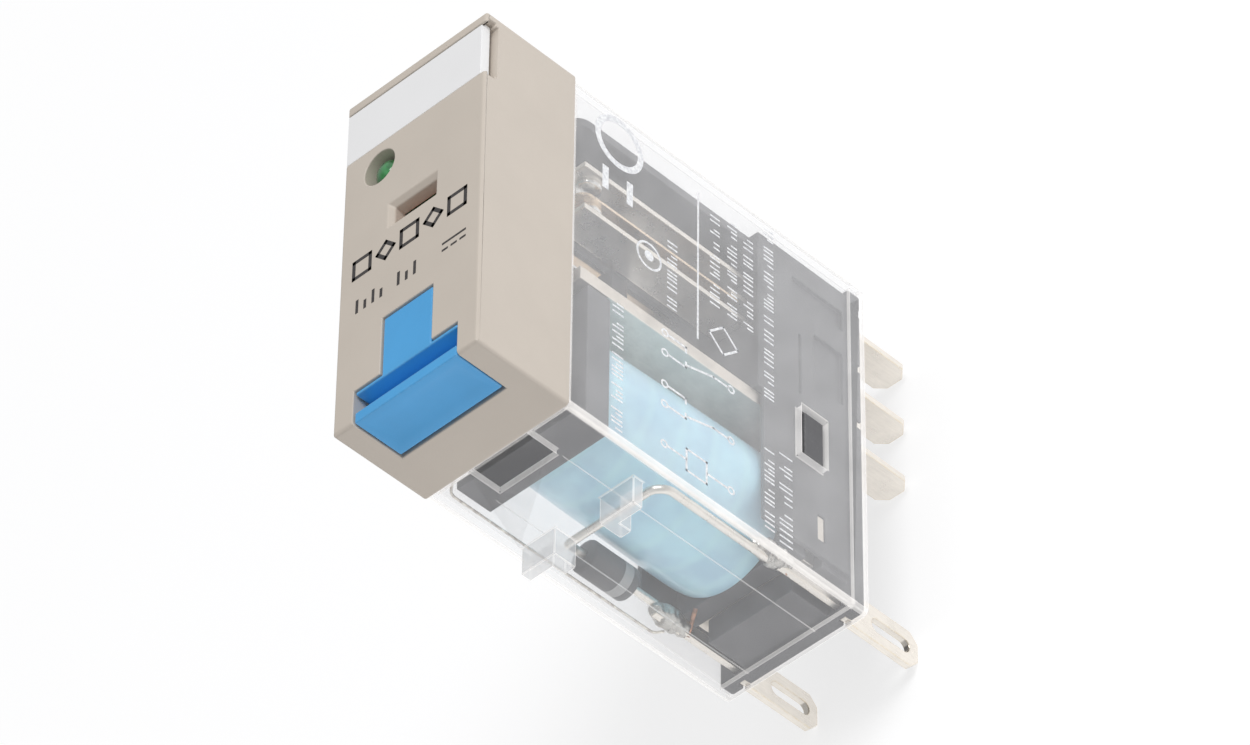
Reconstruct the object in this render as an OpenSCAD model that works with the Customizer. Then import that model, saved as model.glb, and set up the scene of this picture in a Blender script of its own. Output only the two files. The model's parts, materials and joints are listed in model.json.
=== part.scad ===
// Plug-in control relay: two changeover poles, test button, LED and nameplate.
// Millimetres. Z = 0 is the seating face of the base, +Z points to the front
// cap, X runs along the case from the coil (-X) to the contacts (+X).

/* [Case] */
// Length of the case along X, without the hold-down lugs
case_l = 28.8; // [28.7:0.05:29]
// Width of the case along Y
case_w = 12.7; // [12.65:0.05:12.9]
// Height from the seating face to the front face
case_h = 35; // [34.9:0.05:35.3]
// Height of the front cap
cap_h = 8; // [7.9:0.05:8]
// Wall of the front cap
cap_wall = 0.85; // [0.8:0.05:0.85]
// Wall of the clear cover
cover_wall = 0.55; // [0.5:0.05:0.55]
// Thickness of the base flange
flange_t = 1; // [0.9:0.1:1.1]
// How far the hold-down lugs stand out of the cover
lug_out = 2.2; // [1:0.1:2.5]

/* [Front] */
// Width of the nameplate along X
plate_w = 4.4; // [4:0.1:4.4]
// Centre of the nameplate along X
plate_x = 11.32; // [11.2:0.02:11.32]
// Diameter of the LED
led_d = 2.4; // [2.2:0.1:2.5]
// Length of the indicator window along Y
window_l = 3.7; // [3:0.1:4]
// Half width of the test button's stem
stem_y = 2.15; // [1.8:0.05:2.2]
// Half width of the test button's crossbar
bar_y = 4.45; // [4:0.05:4.5]

/* [Terminals] */
// How far the terminals reach below the seating face
term_len = 6.3; // [5:0.1:7]
// Thickness of every terminal blade
term_t = 0.5; // [0.4:0.05:0.5]
// Width of a contact terminal
term_w = 2.7; // [2.4:0.1:2.7]
// Centre of a contact terminal from the middle plane
pole_y = 3.15; // [3.1:0.05:3.15]
// Pitch of the contact terminals along X
term_pitch = 5; // [5:0.01:5.01]

/* [Coil] */
// Centre line of the coil along X
coil_x = -7.3; // [-7.4:0.05:-7.3]
// Largest radius of the taped coil
coil_r = 5.2; // [5:0.05:5.2]
// Radius of the iron core
core_r = 1.7; // [1.5:0.05:1.7]

/* [Movement] */
// Angle by which the armature stands open at rest
open_deg = 4.5; // [3.5:0.1:4.5]
// Height of the push point of the card
push_z = 17.6; // [17.4:0.1:17.8]
// Height of the contacts
contact_z = 22.6; // [22:0.1:22.8]

/* [Hidden] */
$fn = 48;

gap = 0.1;                       // play between neighbouring parts
slip = 0.05;                     // play round an insert
cut = 1;                         // how far a cutter runs past a face

// Case
shell_in = 0.1;                  // cover and base stand back from the cap
cap_z = case_h - cap_h;          // lower edge of the cap
cap_top_t = 1.2;                 // thickness of the cap's front wall
skirt_h = 2.5;                   // cover's collar inside the cap
shoulder_t = 0.6;                // step between the cover and its collar
body_x = case_l / 2 - shell_in;  // outside of the cover along X
body_y = case_w / 2 - shell_in;  // outside of the cover along Y
room_x = body_x - cover_wall;    // inside of the cover along X
room_y = body_y - cover_wall;    // inside of the cover along Y
collar_x = case_l / 2 - cap_wall - slip;
collar_y = case_w / 2 - cap_wall - slip;
corner_r = 0.4;
rim_t = 0.35;                    // cover's wall beside the flange
flange_x = body_x - rim_t - slip;
flange_y = body_y - rim_t - slip;

// Contact side of the base
block_x0 = -0.25;                // the block starts behind the yoke
block_x1 = room_x - 0.35;
block_y = room_y - gap;
block_z = 9.4;
wall_x = 12.7;                   // end wall behind the contacts
wall_y = 4.8;
wall_z = 25.3;
side_wall_y = 5.25;              // side walls along the coil
side_wall_z = 8.9;
latch_x = [-4.3, -0.1];          // latch windows of the cover
latch_z = [3.6, 6];

// Terminals
com_x = 7.2;
nc_x = com_x - term_pitch;
no_x = com_x + term_pitch;
run_z = 3;                       // height at which the strips cross the base
strip_t = 0.4;                   // thickness of the inner strips
nc_strip_x = 5.9;
com_strip_x = 7.67;
no_strip_x = 9.6;
strip_top = 24.2;
pivot_z = 10.7;                  // upper end of the common strip
spring_x = 7.45;                 // back of the moving springs
spring_t = 0.2;
rivet_r = 0.95;
rivet_h = 0.55;
coil_term_x = -12.65;
coil_term_y = 4.4;
coil_term_w = 2.9;
post_z = 8.6;                    // upper end of the coil terminals' posts

// Magnet
yoke_x = [-1.4, -0.35];
yoke_y = 5.15;
yoke_z = [3.3, 25.1];
yoke_t = 1.05;
yoke_foot_y = 4.6;
yoke_tab_x = [-9.9, -7.9];       // side tabs that reach into the base
yoke_tab_t = 0.6;
coil_z = [6.2, 22.3];
flange_z = 22.4;                 // under side of the upper bobbin flange
hinge_x = yoke_x[1];
hinge_z = yoke_z[1];
arm_t = 0.9;
arm_y = 4;
arm_l = 11;
leg_z = 17.5;

// Test button
button_x = [-14.35, -11.75, -7];
button_top = case_h - gap;
pad_z = 30.9;
plate_inset = 0.5;               // nameplate's open end from the cap's side

// Box between two corners
module block(x, y, z)
    translate([x[0], y[0], z[0]])
        cube([x[1] - x[0], y[1] - y[0], z[1] - z[0]]);

// Rectangle with four round corners, centred
module round_rect(l, w, r) {
    square([l - 2 * r, w], center = true);
    square([l, w - 2 * r], center = true);
    for (sx = [-1, 1], sy = [-1, 1])
        translate([sx * (l / 2 - r), sy * (w / 2 - r)])
            circle(r);
}

// Rectangle that stands on its base line, with two round upper corners
module round_top(l, h, r) {
    translate([-l / 2, 0])
        square([l, h - r]);
    translate([-l / 2 + r, 0])
        square([l - 2 * r, h]);
    for (s = [-1, 1])
        translate([s * (l / 2 - r), h - r])
            circle(r);
}

// Upright block with round corners and a round upper rim
module round_block(l, w, h, r) {
    intersection() {
        linear_extrude(h)
            round_rect(l, w, r);
        rotate([90, 0, 0])
            linear_extrude(w + cut, center = true)
                round_top(l, h, r);
        rotate([90, 0, 90])
            linear_extrude(l + cut, center = true)
                round_top(w, h, r);
    }
}

// Round wire through a list of points
module wire(path, r) {
    elbow_r = 1.1 * r;
    for (i = [0 : len(path) - 2]) {
        run = path[i + 1] - path[i];
        translate(path[i])
            rotate([0, acos(run[2] / norm(run)), atan2(run[1], run[0])])
                cylinder(h = norm(run), r = r, $fn = 16);
        if (i > 0)
            translate(path[i])
                sphere(elbow_r, $fn = 16);
    }
}

// ---------------------------------------------------------------- cap

// T-shaped opening for the test button, on the front and the end face
module button_opening() {
    block([button_x[1] - 0.1, button_x[2] + 0.1],
          [-stem_y - gap, stem_y + gap], [cap_z + 3, case_h + cut]);
    block([-case_l / 2 - cut, button_x[1] + 0.1],
          [-bar_y - gap, bar_y + gap], [pad_z - 0.2, case_h + cut]);
}

// Nameplate channel: a flat pocket with a groove along both long sides
module plate_channel() {
    pocket_z = case_h - 1.1;
    groove = [case_h - 0.85, case_h - 0.25];
    block([plate_x - plate_w / 2 - slip, plate_x + plate_w / 2 + slip],
          [-case_w, case_w], [pocket_z, case_h + cut]);
    block([plate_x - plate_w / 2 - 0.3, plate_x + plate_w / 2 + 0.3],
          [-case_w, case_w], groove);
}

// Window over the indicator flag, with sloping sides
module flag_window() {
    mid = [1.875, -0.075];
    slit = 1.45;
    flare = 0.35;
    intersection() {
        translate([mid[0], mid[1], 0])
            rotate([90, 0, 0])
                linear_extrude(case_w, center = true)
                    polygon([[-slit / 2, cap_z], [slit / 2, cap_z],
                             [slit / 2, case_h - flare],
                             [slit / 2 + flare + cut, case_h + cut],
                             [-slit / 2 - flare - cut, case_h + cut],
                             [-slit / 2, case_h - flare]]);
        translate([mid[0], mid[1], 0])
            rotate([90, 0, 90])
                linear_extrude(case_w, center = true)
                    polygon([[-window_l / 2, cap_z], [window_l / 2, cap_z],
                             [window_l / 2, case_h - flare],
                             [window_l / 2 + flare + cut, case_h + cut],
                             [-window_l / 2 - flare - cut, case_h + cut],
                             [-window_l / 2, case_h - flare]]);
    }
}

led_x = 6.9;
led_y = 3.1;

module cap() {
    inner = [case_l / 2 - cap_wall, case_w / 2 - cap_wall];
    rib_z = case_h - 2.4;
    color("#cdc3b8")
        difference() {
            union() {
                difference() {
                    translate([0, 0, cap_z])
                        round_block(case_l, case_w, cap_h, 0.3);
                    block([-inner[0], inner[0]], [-inner[1], inner[1]],
                          [cap_z - cut, case_h - cap_top_t]);
                }
                // thicker front wall under the nameplate
                block([8.2, inner[0] + 0.2], [-inner[1] - 0.2, inner[1] + 0.2],
                      [rib_z, case_h - cap_top_t + 0.1]);
            }
            button_opening();
            plate_channel();
            flag_window();
            translate([led_x, led_y, cap_z])
                cylinder(h = cap_h + cut, r = led_d / 2 + 0.15);
        }
}

// ---------------------------------------------------------- small front parts

module nameplate() {
    y = [-case_w / 2 + plate_inset, case_w / 2 - gap];
    color("white") {
        block([plate_x - plate_w / 2, plate_x + plate_w / 2], y,
              [case_h - 0.4, case_h - slip]);
        block([plate_x - plate_w / 2 - 0.2, plate_x + plate_w / 2 + 0.2], y,
              [case_h - 0.8, case_h - 0.3]);
    }
}

module test_button() {
    groove = [[-13.5, -12], [-bar_y - cut, bar_y + cut]];
    color("#58a5da") {
        difference() {
            block([button_x[0], button_x[1]], [-bar_y, bar_y],
                  [pad_z, button_top]);
            // nail groove with one sloping side
            rotate([90, 0, 0])
                linear_extrude(case_w, center = true)
                    polygon([[groove[0][1], button_top + cut],
                             [groove[0][1], button_top - 1.3],
                             [groove[0][0], button_top - 0.35],
                             [groove[0][0], button_top + cut]]);
        }
        block([button_x[1] - 0.01, button_x[2]], [-stem_y, stem_y],
              [case_h - 2.4, button_top]);
        // guide plate under the cap's front wall
        block([-13, -4.6], [-3.6, 3.6], [case_h - 2.5, case_h - 1.3]);
        // nose that presses the armature
        rotate([90, 0, 0])
            linear_extrude(3, center = true)
                polygon([[-9, case_h - 2.4], [-5, case_h - 2.4],
                         [-5.6, 28.6], [-6.6, 28.6]]);
    }
}

module led_lens() {
    color("#28803c")
        translate([led_x, led_y, 0]) {
            translate([0, 0, case_h - 3.9])
                cylinder(h = 0.6, r = led_d / 2 + 0.25);
            translate([0, 0, case_h - 3.5])
                cylinder(h = 2.1, r = led_d / 2);
            intersection() {
                translate([0, 0, case_h - 1.4])
                    scale(led_d / 2)
                        sphere(1);
                translate([0, 0, case_h - 1.5])
                    cylinder(h = led_d, r = led_d);
            }
        }
}

board_z = [cap_z + skirt_h + 0.2, cap_z + skirt_h + 0.8];

module led_leads() {
    color("silver")
        for (s = [-1, 1])
            translate([led_x + s * 0.635, led_y, board_z[0] - 0.15])
                cylinder(h = case_h - 3.9 - board_z[0] + 0.15, r = 0.2);
}

resistor_x = 10.6;
resistor_span = 3.4;

module indicator_board() {
    color("#3f6b4a")
        difference() {
            block([3.8, 12.6], [-4.9, 4.9], board_z);
            for (s = [-1, 1]) {
                translate([led_x + s * 0.635, led_y, 0])
                    cylinder(h = case_h, r = 0.25);
                translate([resistor_x, s * resistor_span, 0])
                    cylinder(h = case_h, r = 0.3);
            }
        }
}

module resistor() {
    z = board_z[1] + 0.85;
    color("#d8c7a0")
        translate([resistor_x, 0, z])
            rotate([90, 0, 0]) {
                cylinder(h = 3.2, r = 0.62, center = true);
                for (s = [-1, 1])
                    translate([0, 0, s * 1.65])
                        cylinder(h = 0.8, r = 0.75, center = true);
            }
    color("silver")
        for (s = [-1, 1])
            wire([[resistor_x, s * 2, z], [resistor_x, s * resistor_span, z],
                  [resistor_x, s * resistor_span, board_z[0] - 0.1]], 0.22);
}

// Two thin wires from the board down to the coil terminals
module indicator_wires() {
    z = board_z[1] + 0.22;
    color("#b06a4a")
        for (s = [-1, 1])
            wire([[4.2, s * 4.55, z], [-12.6, s * 4.55, z],
                  [-12.6, s * 4.55, 26.1], [-13.45, s * 5.35, 25.75],
                  [-13.45, s * 5.35, 7.6], [-13.2, s * 4.95, 7]], 0.16);
}

// --------------------------------------------------------------- cover

// Hold-down lug with an L-shaped section; the short leg points to the middle
module lug(side) {
    bar = [1.95, 4.9];
    t = 0.85;
    z = 19.6;
    x = [-body_x - lug_out, -body_x + 0.2];
    shift_y = 0.3;
    leg = 0.95;
    translate([0, shift_y, 0])
        scale([1, side, 1]) {
            block(x, bar, [z - t, z]);
            block(x, [bar[0], bar[0] + leg], [z - 1.9, z - t + 0.01]);
        }
}

module cover() {
    collar_z = cap_z + skirt_h;
    color([0.9, 0.95, 1, 0.35]) {
        difference() {
            union() {
                linear_extrude(cap_z)
                    round_rect(2 * body_x, 2 * body_y, corner_r);
                translate([0, 0, cap_z - 0.1])
                    linear_extrude(skirt_h + 0.1)
                        round_rect(2 * collar_x, 2 * collar_y, corner_r);
                for (side = [-1, 1])
                    lug(side);
            }
            block([-room_x, room_x], [-room_y, room_y],
                  [-cut, cap_z - shoulder_t]);
            // rebate that takes the base flange
            block([-body_x + rim_t, body_x - rim_t],
                  [-body_y + rim_t, body_y - rim_t], [-cut, flange_t + slip]);
            block([-collar_x + cover_wall, collar_x - cover_wall],
                  [-collar_y + cover_wall, collar_y - cover_wall],
                  [0, collar_z - cover_wall]);
            // latch windows in both wide sides
            block(latch_x, [-case_w, case_w], latch_z);
            // notch over the bobbin in the end wall
            block([-case_l, -room_x + cut], [-2.5, 2.5], [24.2, cap_z - 0.1]);
            // openings in the top for the button, the flag and the wires
            block([-12.4, -3.4], [-2.6, 2.6], [cap_z, case_h]);
            block([-0.2, 3.4], [-2.4, 2.4], [cap_z, case_h]);
            for (s = [-1, 1])
                translate([-12.6, s * 4.55, cap_z])
                    cylinder(h = case_h, r = 0.3);
        }
    }
}

// ---------------------------------------------------------------- base

module base() {
    foot_z = yoke_z[0] - slip;
    color("#1d1e20")
        difference() {
            union() {
                linear_extrude(flange_t)
                    round_rect(2 * flange_x, 2 * flange_y, corner_r);
                // block that carries the contact terminals
                block([block_x0, block_x1], [-block_y, block_y],
                      [flange_t - 0.1, block_z]);
                // wall behind the contacts
                translate([wall_x, 0, 0])
                    rotate([90, 0, 90])
                        linear_extrude(block_x1 - wall_x)
                            round_top(2 * wall_y, wall_z, 1.2);
                // barrier between the two poles
                block([8.5, wall_x + 0.1], [-0.4, 0.4], [block_z - 0.1, 22]);
                // cradle under the foot of the yoke
                block([-11.7, block_x0 + 0.1], [-side_wall_y, side_wall_y],
                      [flange_t - 0.1, foot_z]);
                // sill between the posts of the coil terminals
                block([-13.5, -11.5], [-3.65, 3.65],
                      [flange_t - 0.1, yoke_z[0] + yoke_t + slip]);
                for (s = [-1, 1])
                    scale([1, s, 1]) {
                        block([-11.3, block_x0 + 0.1], [side_wall_y, block_y],
                              [flange_t - 0.1, side_wall_z]);
                        // latch that snaps into the cover
                        block([latch_x[0] + 0.3, latch_x[1] - 0.3],
                              [block_y - 0.1, room_y + 0.35],
                              [latch_z[0] + 0.25, latch_z[1] - 0.4]);
                    }
            }
            for (s = [-1, 1]) {
                nc_strip(s, slip);
                com_strip(s, slip);
                no_strip(s, slip);
                coil_blade(s, slip);
            }
            // pockets and a groove in both long sides of the block
            for (s = [-1, 1])
                scale([1, s, 1]) {
                    block([9.9, 11.6], [block_y - 0.3, block_y + 0.1],
                          [1.4, 6.2]);
                    block([3.25, 7.75], [block_y - 0.3, block_y + 0.1],
                          [1.4, 4.15]);
                    block([1.6, 6.8], [block_y - 0.25, block_y + 0.1],
                          [5.35, 5.65]);
                    // slot round the yoke's side tab
                    block([yoke_tab_x[0] - slip, yoke_tab_x[1] + slip],
                          [yoke_foot_y, block_y + 0.1],
                          [foot_z, yoke_z[0] + yoke_tab_t + slip]);
                }
        }
}

// ------------------------------------------------------------ terminals

// Blade outline in its own plane, with cut corners at the tip
module blade_face(w, chamfer, grow) {
    polygon([[-w / 2 - grow, 0], [-w / 2 - grow, -term_len + chamfer],
             [-w / 2 + chamfer, -term_len - grow],
             [w / 2 - chamfer, -term_len - grow],
             [w / 2 + grow, -term_len + chamfer], [w / 2 + grow, 0]]);
}

// Contact blade below the seating face, thin along X
module contact_blade(x, side) {
    translate([x - term_t / 2, side * pole_y, 0])
        rotate([90, 0, 90])
            linear_extrude(term_t)
                blade_face(term_w, 0.7, 0);
}

// Strip that rises from a blade, crosses the base and rises again
module bent_strip(x, strip_x, top, side, grow) {
    y = [side * pole_y - term_w / 2 - grow, side * pole_y + term_w / 2 + grow];
    shoulder_y = flange_y - 0.1;
    x_low = min(x - term_t / 2, strip_x);
    x_high = max(x + term_t / 2, strip_x + strip_t);
    block([x - term_t / 2 - grow, x + term_t / 2 + grow], y,
          [-0.01, run_z + strip_t + grow]);
    // shoulder that lies in the flange and shows at its edge
    scale([1, side, 1])
        block([x - term_t / 2 - grow, x + term_t / 2 + grow],
              [pole_y, shoulder_y + 3 * grow], [-0.01, flange_t - 0.2 + grow]);
    block([x_low - grow, x_high + grow], y,
          [run_z - grow, run_z + strip_t + grow]);
    block([strip_x - grow, strip_x + strip_t + grow], y,
          [run_z - grow, top + grow]);
}

module nc_strip(side, grow) bent_strip(nc_x, nc_strip_x, strip_top, side, grow);
module com_strip(side, grow) bent_strip(com_x, com_strip_x, pivot_z, side, grow);
module no_strip(side, grow) bent_strip(no_x, no_strip_x, strip_top, side, grow);

module nc_terminal(side) color("#cfc6b4") {
    contact_blade(nc_x, side);
    nc_strip(side, 0);
}

module com_terminal(side) color("#cfc6b4") {
    contact_blade(com_x, side);
    com_strip(side, 0);
}

module no_terminal(side) color("#c88f6a") {
    contact_blade(no_x, side);
    no_strip(side, 0);
}

// Coil blade: thin along Y, with a shoulder let into the base and a narrow post
module coil_blade(side, grow) {
    post = [-13.25, -12.15];
    half_w = coil_term_w / 2 + grow;
    shoulder_z = 0.5;
    y = [side * coil_term_y - term_t / 2 - grow,
         side * coil_term_y + term_t / 2 + grow];
    block([post[0] - grow, post[1] + grow], y, [-0.01, post_z]);
    block([-flange_x + gap - 3 * grow, coil_term_x + half_w], y,
          [-0.01, shoulder_z + grow]);
}

module coil_terminal(side) {
    slot_r = 0.55;
    slot_z = [-5.5 + slot_r, -2 - slot_r];
    color("#cfc6b4") {
        coil_blade(side, 0);
        translate([coil_term_x, side * coil_term_y + term_t / 2, 0])
            rotate([90, 0, 0])
                linear_extrude(term_t)
                    difference() {
                        blade_face(coil_term_w, 0.7, 0);
                        for (z = slot_z)
                            translate([0, z])
                                circle(slot_r);
                        translate([-slot_r, slot_z[0]])
                            square([2 * slot_r, slot_z[1] - slot_z[0]]);
                    }
    }
}

// Drops of solder on the posts of the coil terminals
module solder_joints() {
    color("#b9b6ae")
        for (s = [-1, 1], i = [0 : 2])
            translate([coil_term_x, s * (coil_term_y + 0.05),
                       post_z - 2.6 + 1.1 * i])
                sphere(i == 1 ? 0.85 : 0.7, $fn = 24);
}

// --------------------------------------------------------------- magnet

module yoke() {
    color("#d9d2c6")
        difference() {
            union() {
                block(yoke_x, [-yoke_y, yoke_y], yoke_z);
                block([-11.4, yoke_x[0] + 0.01],
                      [-yoke_foot_y, yoke_foot_y],
                      [yoke_z[0], yoke_z[0] + yoke_t]);
                block(yoke_tab_x, [-block_y + gap, block_y - gap],
                      [yoke_z[0], yoke_z[0] + yoke_tab_t]);
            }
            translate([coil_x, 0, 0])
                cylinder(h = case_h / 2, r = 1.15);
        }
}

module core() {
    foot = yoke_z[0] + yoke_t;
    color("#c9c5bd")
        translate([coil_x, 0, 0]) {
            translate([0, 0, yoke_z[0] + 0.1])
                cylinder(h = foot - yoke_z[0], r = 1.1);
            translate([0, 0, foot + slip])
                cylinder(h = 20.2, r = core_r);
            translate([0, 0, yoke_z[1] - 0.6])
                cylinder(h = 0.55, r = 3.6);
        }
}

module bobbin() {
    bore_r = core_r + 0.1;
    foot = yoke_z[0] + yoke_t + gap;
    top = yoke_z[1] - 0.65;
    color("#26272a")
        difference() {
            union() {
                translate([coil_x, 0, foot])
                    cylinder(h = top - foot, r = bore_r + 0.5);
                block([-11.6, -1.6], [-5, 5], [foot, coil_z[0] - 0.25]);
                block([-13.1, -1.6], [-5.2, 5.2], [flange_z, top]);
                // raised rim at the end of the case
                block([-13.1, -12.4], [-5.2, 5.2], [top - 0.1, 25.4]);
                block([-12.5, -12.1], [-2, 2], [top - 0.1, 25.1]);
            }
            translate([coil_x, 0, 0])
                cylinder(h = case_h, r = bore_r);
        }
}

module winding() {
    color("#b5653a")
        translate([coil_x, 0, coil_z[0]])
            difference() {
                cylinder(h = coil_z[1] - coil_z[0], r = 4.35);
                translate([0, 0, -cut])
                    cylinder(h = case_h, r = core_r + 0.65);
            }
}

// Tape round the winding, a little fuller towards the base
module coil_tape() {
    inner = 4.4;
    color("#b2d2e0")
        translate([coil_x, 0, 0])
            rotate_extrude($fn = 96)
                polygon([[inner, coil_z[0]], [coil_r - 0.35, coil_z[0]],
                         [coil_r - 0.1, coil_z[0] + 0.4],
                         [coil_r, coil_z[0] + 1.6],
                         [coil_r - 0.1, coil_z[0] + 8],
                         [coil_r - 0.35, coil_z[1]],
                         [inner, coil_z[1]]]);
}

// Ends of the winding, from the lower flange to the posts
module coil_leads() {
    color("#b5653a")
        for (s = [-1, 1])
            wire([[-11.8, s * 3.2, 6], [-13.2, s * 4.4, 5.5]], 0.16);
}

diode_pos = [-12.35, 4.35];
diode_z = [10.9, 15];

module diode_body() {
    color("#5a5a5c")
        translate([diode_pos[0], diode_pos[1], diode_z[0]])
            cylinder(h = diode_z[1] - diode_z[0], r = 1.2);
}

module diode_leads() {
    r = 0.3;
    cross_x = -13.15;
    cross_z = 17;
    x = diode_pos[0];
    y = diode_pos[1];
    color("#ddd6c8") {
        wire([[x, y, diode_z[1]], [x, y, cross_z - 0.9],
              [cross_x, y - 0.6, cross_z], [cross_x, -3.7, cross_z],
              [cross_x, -4.4, cross_z - 0.7], [cross_x, -4.4, 7.4],
              [cross_x + 0.2, -4.4, 7]], r);
        wire([[x, y, diode_z[0]], [x, y, 8], [x - 0.3, y, 7]], r);
    }
}

// Leaf spring that holds the heel of the armature on the yoke
module hinge_spring() {
    t = 0.18;
    x0 = yoke_x[1] + 0.02;
    top = 26.45;
    color("#c6c4be") {
        block([x0, x0 + t], [-4.9, 4.9], [11.5, 16.4]);
        for (s = [-1, 1])
            scale([1, s, 1]) {
                block([x0, x0 + t], [3.55, 4.7], [16.3, top]);
                block([-2.2, x0 + t], [3.55, 4.7], [top - 0.01, top + t]);
            }
    }
}

module armature() {
    heel_y = 3.3;
    color("#cfcbc2") {
        translate([hinge_x, 0, hinge_z])
            rotate([0, open_deg, 0]) {
                block([-arm_l, -0.3], [-arm_y, arm_y], [slip, slip + arm_t]);
                block([-0.31, 0.1], [-heel_y, heel_y], [slip, slip + arm_t]);
            }
        block([hinge_x + 0.3, hinge_x + 1.1], [-heel_y, heel_y],
              [leg_z, hinge_z + 0.95]);
        block([hinge_x - 0.05, hinge_x + 0.4], [-heel_y, heel_y],
              [hinge_z + slip, hinge_z + 0.95]);
    }
}

// Plastic card on the armature's leg that pushes both moving springs
module card() {
    leg_face = hinge_x + 1.1;
    nose_r = 0.5;
    nose_x = spring_x - 0.05 - nose_r;
    color("#2b2c2f") {
        block([leg_face, leg_face + 0.8], [-3.3, 3.3], [16.4, 21]);
        block([leg_face + 0.7, nose_x], [-1.2, 1.2],
              [push_z - 0.7, push_z + 0.7]);
        block([nose_x - 0.45, nose_x], [-4.2, 4.2],
              [push_z - 0.5, push_z + 0.5]);
        for (s = [-1, 1])
            translate([nose_x, s * pole_y, push_z])
                rotate([90, 0, 0])
                    cylinder(h = 2.1, r = nose_r, center = true);
    }
}

// Flag on the armature that shows in the window of the cap
module indicator_flag() {
    x = hinge_x + 1.1;
    color("#c9825c") {
        block([x, x + 0.45], [-1.5, 1.5], [24.2, 33]);
        block([x, x + 2.1], [-1.7, 1.7], [32.7, 33.3]);
    }
}

// -------------------------------------------------------- contact springs

module moving_spring(side) {
    w = 2.4;
    color("#d8b08a") {
        translate([spring_x, side * pole_y, pivot_z - 0.8])
            rotate([90, 0, 90])
                linear_extrude(spring_t)
                    round_top(w, strip_top - pivot_z + 0.8, 0.9);
        translate([spring_x - 0.2, side * pole_y, pivot_z - 0.35])
            rotate([0, 90, 0])
                cylinder(h = 0.3, r = 0.35);
    }
}

// Rivet head on the X axis with a bevelled face
module rivet(h) {
    rotate([0, 90, 0])
        rotate_extrude()
            polygon([[0, 0], [rivet_r, 0], [rivet_r, h - 0.15],
                     [rivet_r - 0.2, h], [0, h]]);
}

module moving_contacts(side) {
    color("#e2dfd6") {
        translate([spring_x, side * pole_y, contact_z])
            scale([-1, 1, 1])
                rivet(rivet_h);
        translate([spring_x + spring_t, side * pole_y, contact_z])
            rivet(rivet_h);
    }
}

module nc_contacts() {
    color("#e2dfd6")
        for (s = [-1, 1])
            translate([nc_strip_x + strip_t, s * pole_y, contact_z])
                rivet(rivet_h);
}

module no_contacts() {
    color("#e2dfd6")
        for (s = [-1, 1])
            translate([no_strip_x, s * pole_y, contact_z])
                scale([-1, 1, 1])
                    rivet(0.4);
}

base();
cover();
cap();
nameplate();
test_button();
led_lens();
led_leads();
indicator_board();
resistor();
indicator_wires();
yoke();
core();
bobbin();
winding();
coil_tape();
coil_leads();
diode_body();
diode_leads();
solder_joints();
coil_terminal(-1);  // coil_terminal_a
coil_terminal(1);  // coil_terminal_b
nc_terminal(-1);  // nc_terminal_a
nc_terminal(1);  // nc_terminal_b
com_terminal(-1);  // com_terminal_a
com_terminal(1);  // com_terminal_b
no_terminal(-1);  // no_terminal_a
no_terminal(1);  // no_terminal_b
nc_contacts();
no_contacts();
hinge_spring();
armature();
card();
indicator_flag();
moving_spring(-1);  // moving_spring_a
moving_spring(1);  // moving_spring_b
moving_contacts(-1);  // moving_contacts_a
moving_contacts(1);  // moving_contacts_b
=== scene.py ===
import json
import math
import random

import bpy
from bpy.props import FloatProperty, FloatVectorProperty, PointerProperty
from bpy.types import Operator, Panel, PropertyGroup
from mathutils import Matrix, Vector


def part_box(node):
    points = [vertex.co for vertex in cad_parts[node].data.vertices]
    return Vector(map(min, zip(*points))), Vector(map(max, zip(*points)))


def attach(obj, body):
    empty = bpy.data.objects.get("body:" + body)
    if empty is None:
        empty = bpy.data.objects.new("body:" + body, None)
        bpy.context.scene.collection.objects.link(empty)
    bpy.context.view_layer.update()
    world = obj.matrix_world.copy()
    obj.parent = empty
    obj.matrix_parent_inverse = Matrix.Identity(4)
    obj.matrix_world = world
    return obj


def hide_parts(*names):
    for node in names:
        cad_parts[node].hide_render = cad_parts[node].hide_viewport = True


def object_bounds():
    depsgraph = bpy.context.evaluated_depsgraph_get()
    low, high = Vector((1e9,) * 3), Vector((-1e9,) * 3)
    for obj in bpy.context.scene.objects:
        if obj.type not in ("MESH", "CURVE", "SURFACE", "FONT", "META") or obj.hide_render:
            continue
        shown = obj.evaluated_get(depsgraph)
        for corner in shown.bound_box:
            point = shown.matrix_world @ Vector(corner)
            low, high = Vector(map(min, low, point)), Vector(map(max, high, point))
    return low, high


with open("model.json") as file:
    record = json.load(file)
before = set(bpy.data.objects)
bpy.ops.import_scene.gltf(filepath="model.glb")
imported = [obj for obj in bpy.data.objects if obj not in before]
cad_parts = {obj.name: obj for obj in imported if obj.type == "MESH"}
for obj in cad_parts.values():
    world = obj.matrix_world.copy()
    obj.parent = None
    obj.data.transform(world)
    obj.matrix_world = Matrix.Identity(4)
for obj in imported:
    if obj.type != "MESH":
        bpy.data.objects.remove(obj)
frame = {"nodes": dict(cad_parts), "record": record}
CAD_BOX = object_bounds()

bl_info = {
    "name": "Plug-in relay",
    "version": (1, 0, 0),
    "blender": (4, 5, 0),
    "location": "3D View > Sidebar > Relay",
    "description": "Builds the finished pieces of a slim plug-in relay round its frame",
    "category": "Object",
}

MM = 0.001          # metres in a millimetre: pieces are shaped in millimetres
MERGE = 0.002       # distance under which vertices are one, in millimetres
SMOOTH = math.radians(40)
MOULD_LINES = (3.25, -2.6)     # places along Y of the lines down the narrow side
SIGN_ENDS = (18.6, 12.6)       # heights of the open ends in the wiring signs
SIGN_RING = 0.33               # their radius

BODY_OF = {n: b for b, names in frame["record"]["behaviour"]["bodies"].items() for n in names}


def corners(node):
    """Lowest and highest corner of a CAD node, in millimetres."""
    low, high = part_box(node)
    return low / MM, high / MM


# ------------------------------------------------------------------ user settings


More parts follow.
